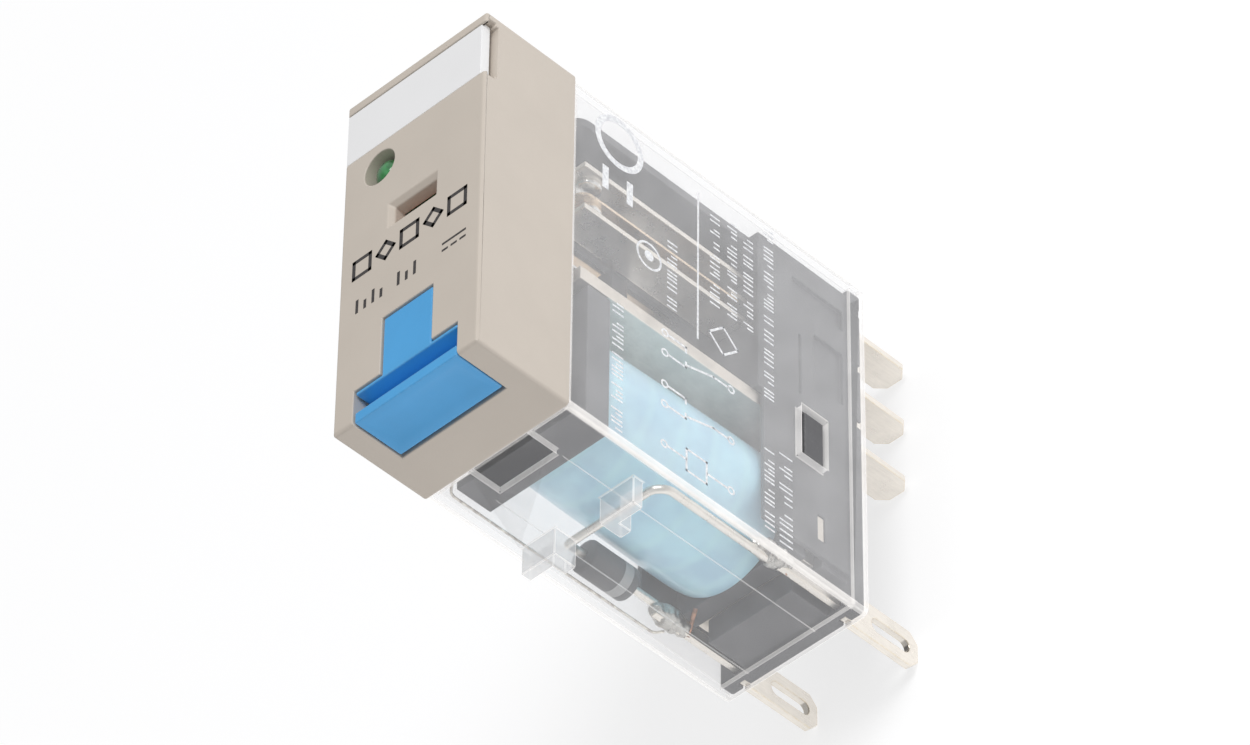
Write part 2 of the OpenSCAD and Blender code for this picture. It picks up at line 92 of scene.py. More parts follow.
def colour(name, text, value):
    return FloatVectorProperty(
        name=name, description=text, default=value, subtype="COLOR", size=3, min=0, max=1
    )


def length(name, text, value):
    """A length property; value is in millimetres."""
    return FloatProperty(
        name=name, description=text, default=value * MM, min=0, unit="LENGTH", precision=5
    )


class RelaySizes(PropertyGroup):
    """Sizes of the finished pieces that the frame leaves open."""

    moulded_edge: length("Moulded edges", "Rounding of moulded edges", 0.09)
    stamped_edge: length("Stamped edges", "Rounding of stamped metal edges", 0.07)
    ink_thickness: length("Ink", "Thickness of the printed ink", 0.012)
    stroke_width: length("Stroke", "Width of a printed line", 0.2)
    wire_bend: length("Wire bends", "Inner radius of a bend in a wire", 0.5)
    tape_step: length("Tape end", "Height of the step where the coil tape ends", 0.05)
    solder_lumps: length("Solder lumps", "How uneven the solder is", 0.12)


class RelayColours(PropertyGroup):
    """Colours of the relay's finishes."""

    cap: colour("Cap", "Beige plastic of the front cap", (0.63, 0.565, 0.495))
    # the cover's white veil is painted reflection of the pale surroundings
    cover: colour("Cover", "Haze of the clear cover", (0.88, 0.88, 0.90))
    # painted highlight: colour of the cover's bright edges and corner bands
    cover_highlight: colour("Cover edges", "Light gathered in the cover's edges", (0.96, 0.93, 0.90))
    base: colour("Base", "Black plastic of the base and the coil former", (0.085, 0.085, 0.092))
    button: colour("Test button", "Blue plastic of the test button", (0.075, 0.40, 0.80))
    plate: colour("Nameplate", "White plastic of the nameplate", (0.92, 0.92, 0.93))
    lens: colour("LED", "Green resin of the LED", (0.012, 0.17, 0.035))
    tape: colour("Coil tape", "Light blue film round the coil", (0.48, 0.78, 0.97))
    ink_dark: colour("Front ink", "Ink on the front cap", (0.05, 0.045, 0.045))
    ink_pale: colour("Side ink", "Ink on the clear cover", (0.78, 0.79, 0.83))
    terminal: colour("Terminals", "Plated metal of the terminals", (0.92, 0.87, 0.80))
    copper: colour("Copper", "Enamelled copper wire", (0.62, 0.28, 0.15))
    flag: colour("Flag", "Orange-brown plastic of the indicator flag", (0.52, 0.22, 0.12))


class RelayStage(PropertyGroup):
    """Camera, floor and lights."""

    camera_place: FloatVectorProperty(
        name="Camera", description="Place of the camera", subtype="TRANSLATION",
        unit="LENGTH", default=(-0.3330, -0.24935, 0.26605), size=3,
    )
    camera_ahead: FloatVectorProperty(
        name="Ahead", description="Direction the camera looks along", subtype="DIRECTION",
        default=(0.68598, 0.51363, -0.51538), size=3,
    )
    camera_up: FloatVectorProperty(
        name="Up", description="Upward direction of the picture", subtype="DIRECTION",
        default=(0.72756, -0.47515, 0.49485), size=3,
    )
    lens: FloatProperty(name="Lens", description="Focal length in mm", default=219.25, min=1)
    floor_size: length("Floor", "Side of the square floor", 3000)


# ------------------------------------------------------------------ modelling tools


def deselect():
    """Leaves edit mode, with nothing selected."""
    if bpy.context.mode != "OBJECT":
        bpy.ops.object.mode_set(mode="OBJECT")
    bpy.ops.object.select_all(action="DESELECT")


def activate(piece, *others):
    """Selects only these pieces and makes the first one active."""
    deselect()
    for one in (piece, *others):
        one.select_set(True)
    bpy.context.view_layer.objects.active = piece


def edit(piece, kind="FACE"):
    """Opens a piece in edit mode, with nothing in it selected."""
    activate(piece)
    bpy.ops.object.mode_set(mode="EDIT")
    bpy.ops.mesh.select_mode(type=kind)
    bpy.ops.mesh.select_all(action="DESELECT")


def done():
    bpy.ops.object.mode_set(mode="OBJECT")


def pick(piece, test, kind="polygons"):
    """Selects the faces, edges or vertices that pass a test, while the piece is edited."""
    bpy.ops.object.mode_set(mode="OBJECT")
    for item in getattr(piece.data, kind):
        item.select = bool(test(item))
    bpy.ops.object.mode_set(mode="EDIT")


def named(name):
    """The active object and its mesh, under a new name."""
    piece = bpy.context.object
    piece.name = name
    piece.data.name = name
    return piece


def settle(piece):
    """Puts the object's place, turn and scale into its mesh."""
    activate(piece)
    bpy.ops.object.transform_apply(location=True, rotation=True, scale=True)
    return piece


def block(name, low, high):
    """Box between two corners."""
    deselect()
    low, high = Vector(low), Vector(high)
    bpy.ops.mesh.primitive_cube_add(size=1, location=(low + high) / 2)
    piece = named(name)
    piece.scale = high - low
    return settle(piece)


def modify(piece, kind, **values):
    """Adds a modifier, sets its values and applies it."""
    activate(piece)
    modifier = piece.modifiers.new(kind.title(), kind)
    for key, value in values.items():
        setattr(modifier, key, value)
    bpy.ops.object.modifier_apply(modifier=modifier.name)
    return piece


def join(piece, *others):
    """Makes several pieces one, under the first one's name."""
    activate(piece, *others)
    bpy.ops.object.join()
    return piece


def outward(piece):
    """Merges doubles and turns every face outwards."""
    edit(piece)
    bpy.ops.mesh.select_all(action="SELECT")
    bpy.ops.mesh.remove_doubles(threshold=MERGE)
    bpy.ops.mesh.normals_make_consistent(inside=False)
    done()
    return piece


def round_edges(piece, width, segments=2, angle=SMOOTH):
    """Rounds every edge sharper than the angle and shades the piece smooth."""
    activate(piece)
    bpy.ops.object.shade_smooth()
    return modify(
        piece, "BEVEL", width=width, segments=segments, limit_method="ANGLE",
        angle_limit=angle, use_clamp_overlap=False, harden_normals=True
    )


def thread(name, points):
    """Line of edges, drawn by extruding one vertex from point to point."""
    deselect()
    points = [Vector(p) for p in points]
    bpy.ops.mesh.primitive_plane_add(size=1, location=points[0])
    piece = settle(named(name))
    edit(piece, "VERT")
    bpy.ops.mesh.select_all(action="SELECT")
    bpy.ops.mesh.merge(type="CENTER")
    for start, end in zip(points, points[1:]):
        bpy.ops.mesh.extrude_vertices_move(TRANSFORM_OT_translate={"value": end - start})
    done()
    return piece


def mirrored(end, low, high, middle=()):
    """Profile with the same end at both sides; the end lists radius and distance inwards."""
    lower = [(r, low + inwards) for r, inwards in end]
    upper = [(r, high - inwards) for r, inwards in reversed(end)]
    return [*lower, *middle, *upper]


def turned(name, profile, centre, steps=64, axis=(0, 0, 1)):
    """Solid of revolution; the profile lists radius and height along the axis."""
    piece = thread(name, [(r, 0, h) for r, h in profile])
    edit(piece, "EDGE")
    bpy.ops.mesh.select_all(action="SELECT")
    bpy.ops.mesh.spin(steps=steps, angle=2 * math.pi, center=(0, 0, 0), axis=(0, 0, 1))
    done()
    outward(piece)
    piece.rotation_euler = Vector(axis).to_track_quat("Z", "Y").to_euler()
    piece.location = centre
    settle(piece)
    activate(piece)
    bpy.ops.object.shade_smooth_by_angle(angle=SMOOTH)
    return piece


def bent_path(points, radius, steps=6):
    """The points with each inner corner replaced by an arc."""
    points = [Vector(p) for p in points]
    path = [points[0]]
    for before, here, after in zip(points, points[1:], points[2:]):
        back, ahead = (before - here), (after - here)
        reach = min(radius, back.length / 2.2, ahead.length / 2.2)
        start, end = here + back.normalized() * reach, here + ahead.normalized() * reach
        for i in range(steps + 1):
            t = i / steps
            path.append(start * (1 - t) ** 2 + here * 2 * t * (1 - t) + end * t ** 2)
    return path + [points[-1]]


def wire(name, points, radius, bend):
    """Round wire with closed ends along a path with soft bends."""
    activate(thread(name, bent_path(points, bend)))
    bpy.ops.object.convert(target="CURVE")
    curve = bpy.context.object.data
    curve.bevel_depth = radius
    curve.bevel_resolution = 4
    curve.use_fill_caps = True
    bpy.ops.object.convert(target="MESH")
    piece = named(name)
    bpy.ops.object.shade_smooth_by_angle(angle=SMOOTH)
    return piece


def to_metres(piece):
    piece.scale = (MM, MM, MM)
    return settle(piece)


def eased(node, name, width, segments=2, shape=None):
    """A merged copy of a CAD node, shaped further and with its edges rounded, in millimetres."""
    deselect()
    source = frame["nodes"][node]
    piece = source.copy()
    piece.data = source.data.copy()
    piece.name = name
    piece.data.name = name
    piece.parent = None
    piece.matrix_world = Matrix.Scale(1 / MM, 4)
    for key in list(piece.keys()):
        if key.startswith("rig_"):
            del piece[key]
    bpy.context.collection.objects.link(piece)
    settle(piece)
    bpy.ops.mesh.customdata_custom_splitnormals_clear()
    edit(piece, "VERT")
    bpy.ops.mesh.select_all(action="SELECT")
    bpy.ops.mesh.remove_doubles(threshold=MERGE)
    bpy.ops.mesh.dissolve_limited(angle_limit=math.radians(0.5))
    bpy.ops.mesh.select_all(action="DESELECT")
    done()
    if shape:
        shape(piece)
    return round_edges(piece, width, segments)


def fit_out(piece, material, node):
    """Brings a finished piece to metres and lets it stand for its CAD node."""
    to_metres(piece)
    piece.data.materials.clear()
    piece.data.materials.append(material)
    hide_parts(node)
    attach(piece, BODY_OF[node])


# ------------------------------------------------------------------ shader groups


def link(tree, source, target):
    tree.links.new(source, target)


def shader_node(tree, kind, **values):
    """Adds a node; values are attributes, or inputs where the name is one."""
    made = tree.nodes.new(kind)
    for key, value in values.items():
        if hasattr(made, key):
            setattr(made, key, value)
        else:
            made.inputs[key.replace("_", " ")].default_value = value
    return made


def new_group(name, inputs, outputs):
    """Shader node group with named sockets. Returns its tree, inputs and outputs."""
    tree = bpy.data.node_groups.new(name, "ShaderNodeTree")
    for label, kind, value in inputs:
        socket = tree.interface.new_socket(label, in_out="INPUT", socket_type=kind)
        if value is not None:
            socket.default_value = value
    for label, kind in outputs:
        tree.interface.new_socket(label, in_out="OUTPUT", socket_type=kind)
    return tree, tree.nodes.new("NodeGroupInput"), tree.nodes.new("NodeGroupOutput")


def in_millimetres(tree):
    """Object coordinates scaled to millimetres."""
    place = shader_node(tree, "ShaderNodeTexCoord")
    scaled = shader_node(tree, "ShaderNodeVectorMath", operation="SCALE")
    scaled.inputs["Scale"].default_value = 1 / MM
    link(tree, place.outputs["Object"], scaled.inputs[0])
    return scaled.outputs["Vector"]


def mix_colour(tree, factor, first, second, blend="MIX"):
    """Mixes two colours; each argument is a socket or a value. Returns the result."""
    made = tree.nodes.new("ShaderNodeMix")
    made.data_type = "RGBA"
    made.blend_type = blend
    for index, value in ((0, factor), (6, first), (7, second)):
        socket = made.inputs[index]
        if isinstance(value, bpy.types.NodeSocket):
            link(tree, value, socket)
        elif index == 0:
            socket.default_value = value
        else:
            socket.default_value = (*value[:3], 1)
    return made.outputs[2]


def ramp(tree, source, low, high, to_low=0.0, to_high=1.0):
    """Maps a value from one range to another, clamped."""
    made = shader_node(tree, "ShaderNodeMapRange", clamp=True)
    limits = {"From Min": low, "From Max": high, "To Min": to_low, "To Max": to_high}
    for label, value in limits.items():
        made.inputs[label].default_value = value
    link(tree, source, made.inputs["Value"])
    return made.outputs["Result"]


def calculate(tree, operation, first, second=0.0):
    made = shader_node(tree, "ShaderNodeMath", operation=operation)
    for socket, value in zip(made.inputs, (first, second)):
        if isinstance(value, bpy.types.NodeSocket):
            link(tree, value, socket)
        else:
            socket.default_value = value
    return made.outputs[0]


def noise_of(tree, place, scale, detail=3.0, rough=0.55):
    made = shader_node(tree, "ShaderNodeTexNoise", noise_dimensions="3D")
    made.inputs["Scale"].default_value = scale
    made.inputs["Detail"].default_value = detail
    made.inputs["Roughness"].default_value = rough
    link(tree, place, made.inputs["Vector"])
    return made.outputs["Fac"]


def build_groups():
    """The effects that several finishes share."""
    # moulding grain: fine spark-eroded texture and slow colour drift
    tree, into, out = new_group(
        "moulding_grain",
        [("Grain", "NodeSocketFloat", 9.0), ("Drift", "NodeSocketFloat", 0.25)],
        [("Tone", "NodeSocketFloat"), ("Height", "NodeSocketFloat"), ("Gloss", "NodeSocketFloat")],
    )
    place = in_millimetres(tree)
    fine = shader_node(tree, "ShaderNodeTexNoise")
    fine.inputs["Detail"].default_value = 2
    slow = shader_node(tree, "ShaderNodeTexNoise")
    slow.inputs["Detail"].default_value = 4
    for made, label in ((fine, "Grain"), (slow, "Drift")):
        link(tree, place, made.inputs["Vector"])
        link(tree, into.outputs[label], made.inputs["Scale"])
    link(tree, ramp(tree, slow.outputs["Fac"], 0.3, 0.7), out.inputs["Tone"])
    link(tree, fine.outputs["Fac"], out.inputs["Height"])
    link(tree, ramp(tree, fine.outputs["Fac"], 0.3, 0.7, -0.05, 0.05), out.inputs["Gloss"])

    # rolled metal: long fine lines along one axis, with a few handling marks
    tree, into, out = new_group(
        "rolled_metal",
        [("Stretch", "NodeSocketVector", (30.0, 30.0, 1.5))],
        [("Tone", "NodeSocketFloat"), ("Height", "NodeSocketFloat"), ("Gloss", "NodeSocketFloat")],
    )
    stretched = shader_node(tree, "ShaderNodeVectorMath", operation="MULTIPLY")
    link(tree, in_millimetres(tree), stretched.inputs[0])
    link(tree, into.outputs["Stretch"], stretched.inputs[1])
    lines = noise_of(tree, stretched.outputs["Vector"], 1.0, 4.0, 0.7)
    cloud = noise_of(tree, in_millimetres(tree), 0.9, 4.0)
    link(tree, calculate(tree, "ADD", ramp(tree, lines, 0.3, 0.7, 0, 0.5),
                         ramp(tree, cloud, 0.35, 0.65, 0, 0.5)), out.inputs["Tone"])
    link(tree, lines, out.inputs["Height"])
    link(tree, ramp(tree, cloud, 0.35, 0.65, -0.06, 0.08), out.inputs["Gloss"])

    # edge wear: a broken mask along outer edges
    tree, into, out = new_group(
        "edge_wear",
        [("Amount", "NodeSocketFloat", 0.5), ("Break Up", "NodeSocketFloat", 4.0)],
        [("Mask", "NodeSocketFloat")],
    )
    shape = shader_node(tree, "ShaderNodeNewGeometry")
    rounded = shader_node(tree, "ShaderNodeBevel", samples=4)
    rounded.inputs["Radius"].default_value = 0.14 * MM
    turn = shader_node(tree, "ShaderNodeVectorMath", operation="DOT_PRODUCT")
    link(tree, rounded.outputs["Normal"], turn.inputs[0])
    link(tree, shape.outputs["Normal"], turn.inputs[1])
    outer = ramp(tree, turn.outputs["Value"], 0.995, 0.90)
    patches = shader_node(tree, "ShaderNodeTexNoise")
    link(tree, in_millimetres(tree), patches.inputs["Vector"])
    link(tree, into.outputs["Break Up"], patches.inputs["Scale"])
    gaps = ramp(tree, patches.outputs["Fac"], 0.35, 0.6, 0.35, 1)
    broken = calculate(tree, "MULTIPLY", outer, gaps)
    link(tree, calculate(tree, "MULTIPLY", broken, into.outputs["Amount"]), out.inputs["Mask"])

    # dust: sparse pale specks
    tree, into, out = new_group(
        "dust",
        [("Density", "NodeSocketFloat", 0.1), ("Size", "NodeSocketFloat", 3.0)],
        [("Mask", "NodeSocketFloat")],
    )
    cells = shader_node(tree, "ShaderNodeTexVoronoi")
    link(tree, in_millimetres(tree), cells.inputs["Vector"])
    link(tree, into.outputs["Size"], cells.inputs["Scale"])
    specks = ramp(tree, cells.outputs["Distance"], 0.05, 0.16, 1, 0)
    link(tree, calculate(tree, "MULTIPLY", specks, into.outputs["Density"]), out.inputs["Mask"])


def placed_group(tree, name, **values):
    """Places a shared group with its own values. Returns its outputs."""
    made = shader_node(tree, "ShaderNodeGroup", node_tree=bpy.data.node_groups[name])
    for key, value in values.items():
        made.inputs[key.replace("_", " ")].default_value = value
    return made.outputs


def new_material(name):
    """A material with an empty Principled shader. Returns material, tree and shader."""
    material = bpy.data.materials.new(name)
    material.use_nodes = True
    tree = material.node_tree
    return material, tree, tree.nodes["Principled BSDF"]


def add_bump(tree, shader, height, distance, strength=1.0):
    """Feeds a height into the shader's normal; distance is in millimetres."""
    bump = shader_node(tree, "ShaderNodeBump")
    bump.inputs["Distance"].default_value = distance * MM
    bump.inputs["Strength"].default_value = strength
    link(tree, height, bump.inputs["Height"])
    link(tree, bump.outputs["Normal"], shader.inputs["Normal"])


def shade(base, factor):
    """A colour made darker or lighter."""
    return tuple(min(1.0, c * factor) for c in base[:3])


# ------------------------------------------------------------------ finishes


def plastic(name, base, gloss=0.42, grain=9.0, relief=0.004, drift=0.05, wear=0.25, dusty=0.0):
    """Moulded plastic: grain, slow colour drift and paler outer edges."""
    material, tree, shader = new_material(name)
    texture = placed_group(tree, "moulding_grain", Grain=grain)
    toned = mix_colour(tree, texture["Tone"], shade(base, 1 - drift), shade(base, 1 + drift))
    edge = placed_group(tree, "edge_wear", Amount=wear)["Mask"]
    toned = mix_colour(tree, edge, toned, [c + (1 - c) * 0.35 for c in base[:3]])
    if dusty:
        specks = placed_group(tree, "dust", Density=dusty)["Mask"]
        toned = mix_colour(tree, specks, toned, (0.6, 0.58, 0.55))
    link(tree, toned, shader.inputs["Base Color"])
    link(tree, calculate(tree, "ADD", texture["Gloss"], gloss), shader.inputs["Roughness"])
    add_bump(tree, shader, texture["Height"], relief)
    return material


def metal(name, base, gloss=0.3, stretch=(30, 30, 1.5), relief=0.003, dark=0.78, wear=0.5, bare=None):
    """Rolled or plated sheet metal with fine lines and bright edges, or edges of bare metal."""
    material, tree, shader = new_material(name)
    texture = placed_group(tree, "rolled_metal", Stretch=stretch)
    toned = mix_colour(tree, texture["Tone"], shade(base, dark), shade(base, 1.06))
    edge = placed_group(tree, "edge_wear", Amount=wear, Break_Up=2.5)["Mask"]
    toned = mix_colour(tree, edge, toned, bare or [c + (1 - c) * 0.5 for c in base[:3]])
    link(tree, toned, shader.inputs["Base Color"])
    link(tree, calculate(tree, "ADD", texture["Gloss"], gloss), shader.inputs["Roughness"])
    shader.inputs["Metallic"].default_value = 1.0
    add_bump(tree, shader, texture["Height"], relief)
    return material


def clear_plastic(name, reflection_veil, thin, thick, painted_light):
    """Clear polycarbonate: a white veil, painted reflection of the pale surroundings, that thickens from
    face-on to grazing views, with a faint painted glow.
    """
    material, tree, shader = new_material(name)
    texture = placed_group(tree, "moulding_grain", Grain=2.0, Drift=0.35)
    toned = mix_colour(tree, texture["Tone"], shade(reflection_veil, 0.97), shade(reflection_veil, 1.03))
    link(tree, toned, shader.inputs["Base Color"])
    # painted reflection: the white veil stands in for the pale surroundings reflected in the walls
    facing = shader_node(tree, "ShaderNodeLayerWeight")
    facing.inputs["Blend"].default_value = 0.5
    veil = ramp(tree, facing.outputs["Facing"], 0.3, 1.0, 0.0, 1.0)
    veil = calculate(tree, "POWER", veil, 1.5)
    veil = ramp(tree, veil, 0.0, 1.0, thin, thick)
    streaks = ramp(tree, texture["Tone"], 0, 1, 0.9, 1.1)
    link(tree, calculate(tree, "MULTIPLY", veil, streaks), shader.inputs["Alpha"])
    shader.inputs["Roughness"].default_value = 0.07
    shader.inputs["IOR"].default_value = 1.58
    # painted light: the clear plastic glows a little, though it is no lamp
    shader.inputs["Emission Color"].default_value = (1, 1, 1, 1)
    shader.inputs["Emission Strength"].default_value = painted_light
    add_bump(tree, shader, texture["Tone"], 0.003, 0.5)
    return material


def led_resin(name, base):
    """Green resin with the reflector showing through, painted in as bright highlight patches and dark and
    bright streaks.
    """
    material, tree, shader = new_material(name)
    place = in_millimetres(tree)
    # painted highlight: bright patches where light comes off the reflector inside
    highlight_cells = shader_node(tree, "ShaderNodeTexVoronoi")
    highlight_cells.inputs["Scale"].default_value = 1.6
    link(tree, place, highlight_cells.inputs["Vector"])
    painted_light = ramp(tree, highlight_cells.outputs["Distance"], 0.1, 0.6, 0, 1)
    # painted light and shade: the resin is streaked dark and bright
    swirl = ramp(tree, noise_of(tree, place, 1.3, 3.0), 0.4, 0.62)
    painted_streaks = mix_colour(tree, swirl, shade(base, 0.45), shade(base, 1.5))
    link(tree, mix_colour(tree, calculate(tree, "MULTIPLY", painted_light, 0.18), painted_streaks, (0.3, 0.7, 0.4)),
         shader.inputs["Base Color"])
    shader.inputs["Roughness"].default_value = 0.12
    shader.inputs["Coat Weight"].default_value = 0.6
    shader.inputs["Coat Roughness"].default_value = 0.05
    add_bump(tree, shader, noise_of(tree, place, 2.0, 1.0), 0.01)
    return material


def coil_film(name, base):
    """Polyester tape: smooth film with faint wrap lines and trapped air."""
    material, tree, shader = new_material(name)
    place = in_millimetres(tree)
    wraps = shader_node(tree, "ShaderNodeTexWave", wave_type="BANDS", bands_direction="Z")
    wraps.inputs["Scale"].default_value = 0.11
    wraps.inputs["Distortion"].default_value = 1.5
    wraps.inputs["Detail"].default_value = 1.0
    link(tree, place, wraps.inputs["Vector"])
    cloud = ramp(tree, noise_of(tree, place, 0.35, 3.0), 0.35, 0.65)
    toned = mix_colour(tree, cloud, shade(base, 0.9), shade(base, 1.12))
    laps = ramp(tree, wraps.outputs["Fac"], 0.8, 1.0, 0, 0.25)
    toned = mix_colour(tree, laps, toned, shade(base, 1.3))
    link(tree, toned, shader.inputs["Base Color"])
    shader.inputs["Roughness"].default_value = 0.28
    shader.inputs["Coat Weight"].default_value = 0.35
    shader.inputs["Coat Roughness"].default_value = 0.12
    add_bump(tree, shader, noise_of(tree, place, 0.8, 2.0), 0.03, 0.6)
    return material


def ink(name, base, painted_light=0.0):
    """Printed ink with an uneven film and tiny pinholes."""
    material, tree, shader = new_material(name)
    place = in_millimetres(tree)
    film = ramp(tree, noise_of(tree, place, 6.0, 3.0), 0.35, 0.65)
    toned = mix_colour(tree, film, shade(base, 0.85), shade(base, 1.25))
    link(tree, toned, shader.inputs["Base Color"])
    shader.inputs["Roughness"].default_value = 0.55
    # painted light: pale ink may glow a little, though it is no lamp
    shader.inputs["Emission Color"].default_value = (1, 1, 1, 1)
    shader.inputs["Emission Strength"].default_value = painted_light
    add_bump(tree, shader, noise_of(tree, place, 12.0, 1.0), 0.002)
    return material


def enamelled_wire(name, base):
    """Copper wire under clear enamel, darker where the enamel is thick."""
    material, tree, shader = new_material(name)
    place = in_millimetres(tree)
    patches = ramp(tree, noise_of(tree, place, 2.2, 4.0), 0.4, 0.6)
    toned = mix_colour(tree, patches, shade(base, 0.6), shade(base, 1.25))
    link(tree, toned, shader.inputs["Base Color"])
    shader.inputs["Metallic"].default_value = 0.55
    shader.inputs["Roughness"].default_value = 0.3
    shader.inputs["Coat Weight"].default_value = 0.5
    add_bump(tree, shader, noise_of(tree, place, 8.0, 2.0), 0.006)
    return material


def winding_copper(name, base):
    """Rows of wound wire round the coil."""
    material, tree, shader = new_material(name)
    place = in_millimetres(tree)
    turns = shader_node(tree, "ShaderNodeTexWave", wave_type="BANDS", bands_direction="Z")
    turns.inputs["Scale"].default_value = 2.6
    link(tree, place, turns.inputs["Vector"])
    toned = mix_colour(tree, turns.outputs["Fac"], shade(base, 0.45), base)
    link(tree, toned, shader.inputs["Base Color"])
    shader.inputs["Metallic"].default_value = 0.6
    shader.inputs["Roughness"].default_value = 0.35
    add_bump(tree, shader, turns.outputs["Fac"], 0.03)
    return material


def resistor_bands(name, base):
    """Lacquered body with four coloured rings across its length."""
    material, tree, shader = new_material(name)
    split = shader_node(tree, "ShaderNodeSeparateXYZ")
    link(tree, in_millimetres(tree), split.inputs[0])
    stops = shader_node(tree, "ShaderNodeValToRGB")
    bands = stops.color_ramp
    bands.interpolation = "CONSTANT"
    ring_colours = [(0.25, 0.10, 0.05), (0.02, 0.02, 0.02), (0.55, 0.05, 0.03), (0.60, 0.42, 0.12)]
    elements = [(0.0, base)]
    for i, ring in enumerate(ring_colours):
        start = 0.22 + 0.15 * i
        elements += [(start, ring), (start + 0.06, base)]
    bands.elements[0].color = (*base[:3], 1)
    bands.elements[1].position, bands.elements[1].color = elements[1][0], (*elements[1][1][:3], 1)
    for position, value in elements[2:]:
        bands.elements.new(position).color = (*value[:3], 1)
    link(tree, ramp(tree, split.outputs["Y"], -2.0, 2.0), stops.inputs["Fac"])
    link(tree, stops.outputs["Color"], shader.inputs["Base Color"])
    shader.inputs["Roughness"].default_value = 0.25
    shader.inputs["Coat Weight"].default_value = 0.4
    add_bump(tree, shader, noise_of(tree, in_millimetres(tree), 2.5, 2.0), 0.01)
    return material


def pale_floor(name):
    """Pale studio floor that glows a little, so that shadows stay faint."""
    material, tree, shader = new_material(name)
    cloud = ramp(tree, noise_of(tree, in_millimetres(tree), 0.004, 3.0), 0.3, 0.7)
    toned = mix_colour(tree, cloud, (0.33, 0.33, 0.34), (0.35, 0.35, 0.35))
    link(tree, toned, shader.inputs["Base Color"])
    shader.inputs["Roughness"].default_value = 0.8
    shader.inputs["Emission Color"].default_value = (1, 1, 1, 1)
    shader.inputs["Emission Strength"].default_value = 0.72
    return material


def finish(kind):
    """Fetches a finish, making it once. The frame has plain materials of its own."""
    name = f"finish_{kind}"
    if name in bpy.data.materials:
        return bpy.data.materials[name]
    tints = bpy.context.scene.relay_colours
    makers = {
        "beige_plastic": lambda: plastic(name, tints.cap, 0.48, 7.0, 0.006, 0.02, 0.2),
        # painted light: the last number of each clear finish is the strength of its painted glow; the edge
        # and corner finishes are painted highlights
        "clear_plastic": lambda: clear_plastic(name, tints.cover, 0.115, 0.54, 0.2),
        "clear_core": lambda: clear_plastic(name, tints.cover_highlight, 0.22, 0.6, 0.2),
        "clear_lug": lambda: clear_plastic(name, (0.80, 0.80, 0.81), 0.34, 0.7, 0.1),
        "clear_edge": lambda: clear_plastic(name, tints.cover_highlight, 0.5, 0.9, 0.3),
        "black_plastic": lambda: plastic(name, tints.base, 0.36, 4.0, 0.0015, 0.12, 0.8, 0.12),
        "white_plastic": lambda: plastic(name, tints.plate, 0.4, 5.0, 0.004, 0.01, 0.3),
        "blue_plastic": lambda: plastic(name, tints.button, 0.34, 7.0, 0.004, 0.05, 0.6),
        "green_lens": lambda: led_resin(name, tints.lens),
        "tape": lambda: coil_film(name, tints.tape),
        "yoke_steel": lambda: metal(name, (0.86, 0.79, 0.70), 0.36, (6, 6, 2), 0.002),
        "spring_steel": lambda: metal(name, (0.78, 0.78, 0.77), 0.22, (10, 10, 0.8), 0.001),
        "copper": lambda: enamelled_wire(name, tints.copper),
        "tinned_wire": lambda: enamelled_wire(name, (0.86, 0.76, 0.68)),
        "winding": lambda: winding_copper(name, tints.copper),
        "terminal_metal": lambda: metal(name, tints.terminal, 0.3, (9, 9, 0.8), 0.0008, 0.88, 0.8,
                                        bare=(0.80, 0.67, 0.44)),
        "spring_bronze": lambda: metal(name, (0.95, 0.74, 0.52), 0.26, (10, 10, 0.8), 0.001),
        "contact_silver": lambda: metal(name, (0.86, 0.85, 0.82), 0.2, (8, 8, 8), 0.003),
        "solder": lambda: metal(name, (0.66, 0.64, 0.60), 0.26, (3, 3, 3), 0.01, 0.55),
        "diode_epoxy": lambda: plastic(name, (0.10, 0.10, 0.105), 0.42, 5.0, 0.01, 0.1, 0.3),
        "diode_band": lambda: plastic(name, (0.42, 0.42, 0.42), 0.45, 5.0, 0.01, 0.1, 0.2),
        "board": lambda: plastic(name, (0.10, 0.26, 0.14), 0.3, 3.0, 0.006, 0.15, 0.3),
        "resistor_coat": lambda: resistor_bands(name, (0.62, 0.50, 0.32)),
        "flag_plastic": lambda: plastic(name, tints.flag, 0.45, 6.0, 0.006, 0.06, 0.3),
        "ink_dark": lambda: ink(name, tints.ink_dark),
        # painted light: the side ink glows a little so that it reads pale on the clear cover
        "ink_pale": lambda: ink(name, tints.ink_pale, 0.05),
        "floor": lambda: pale_floor(name),
    }
    return makers[kind]()


# ------------------------------------------------------------------ printing


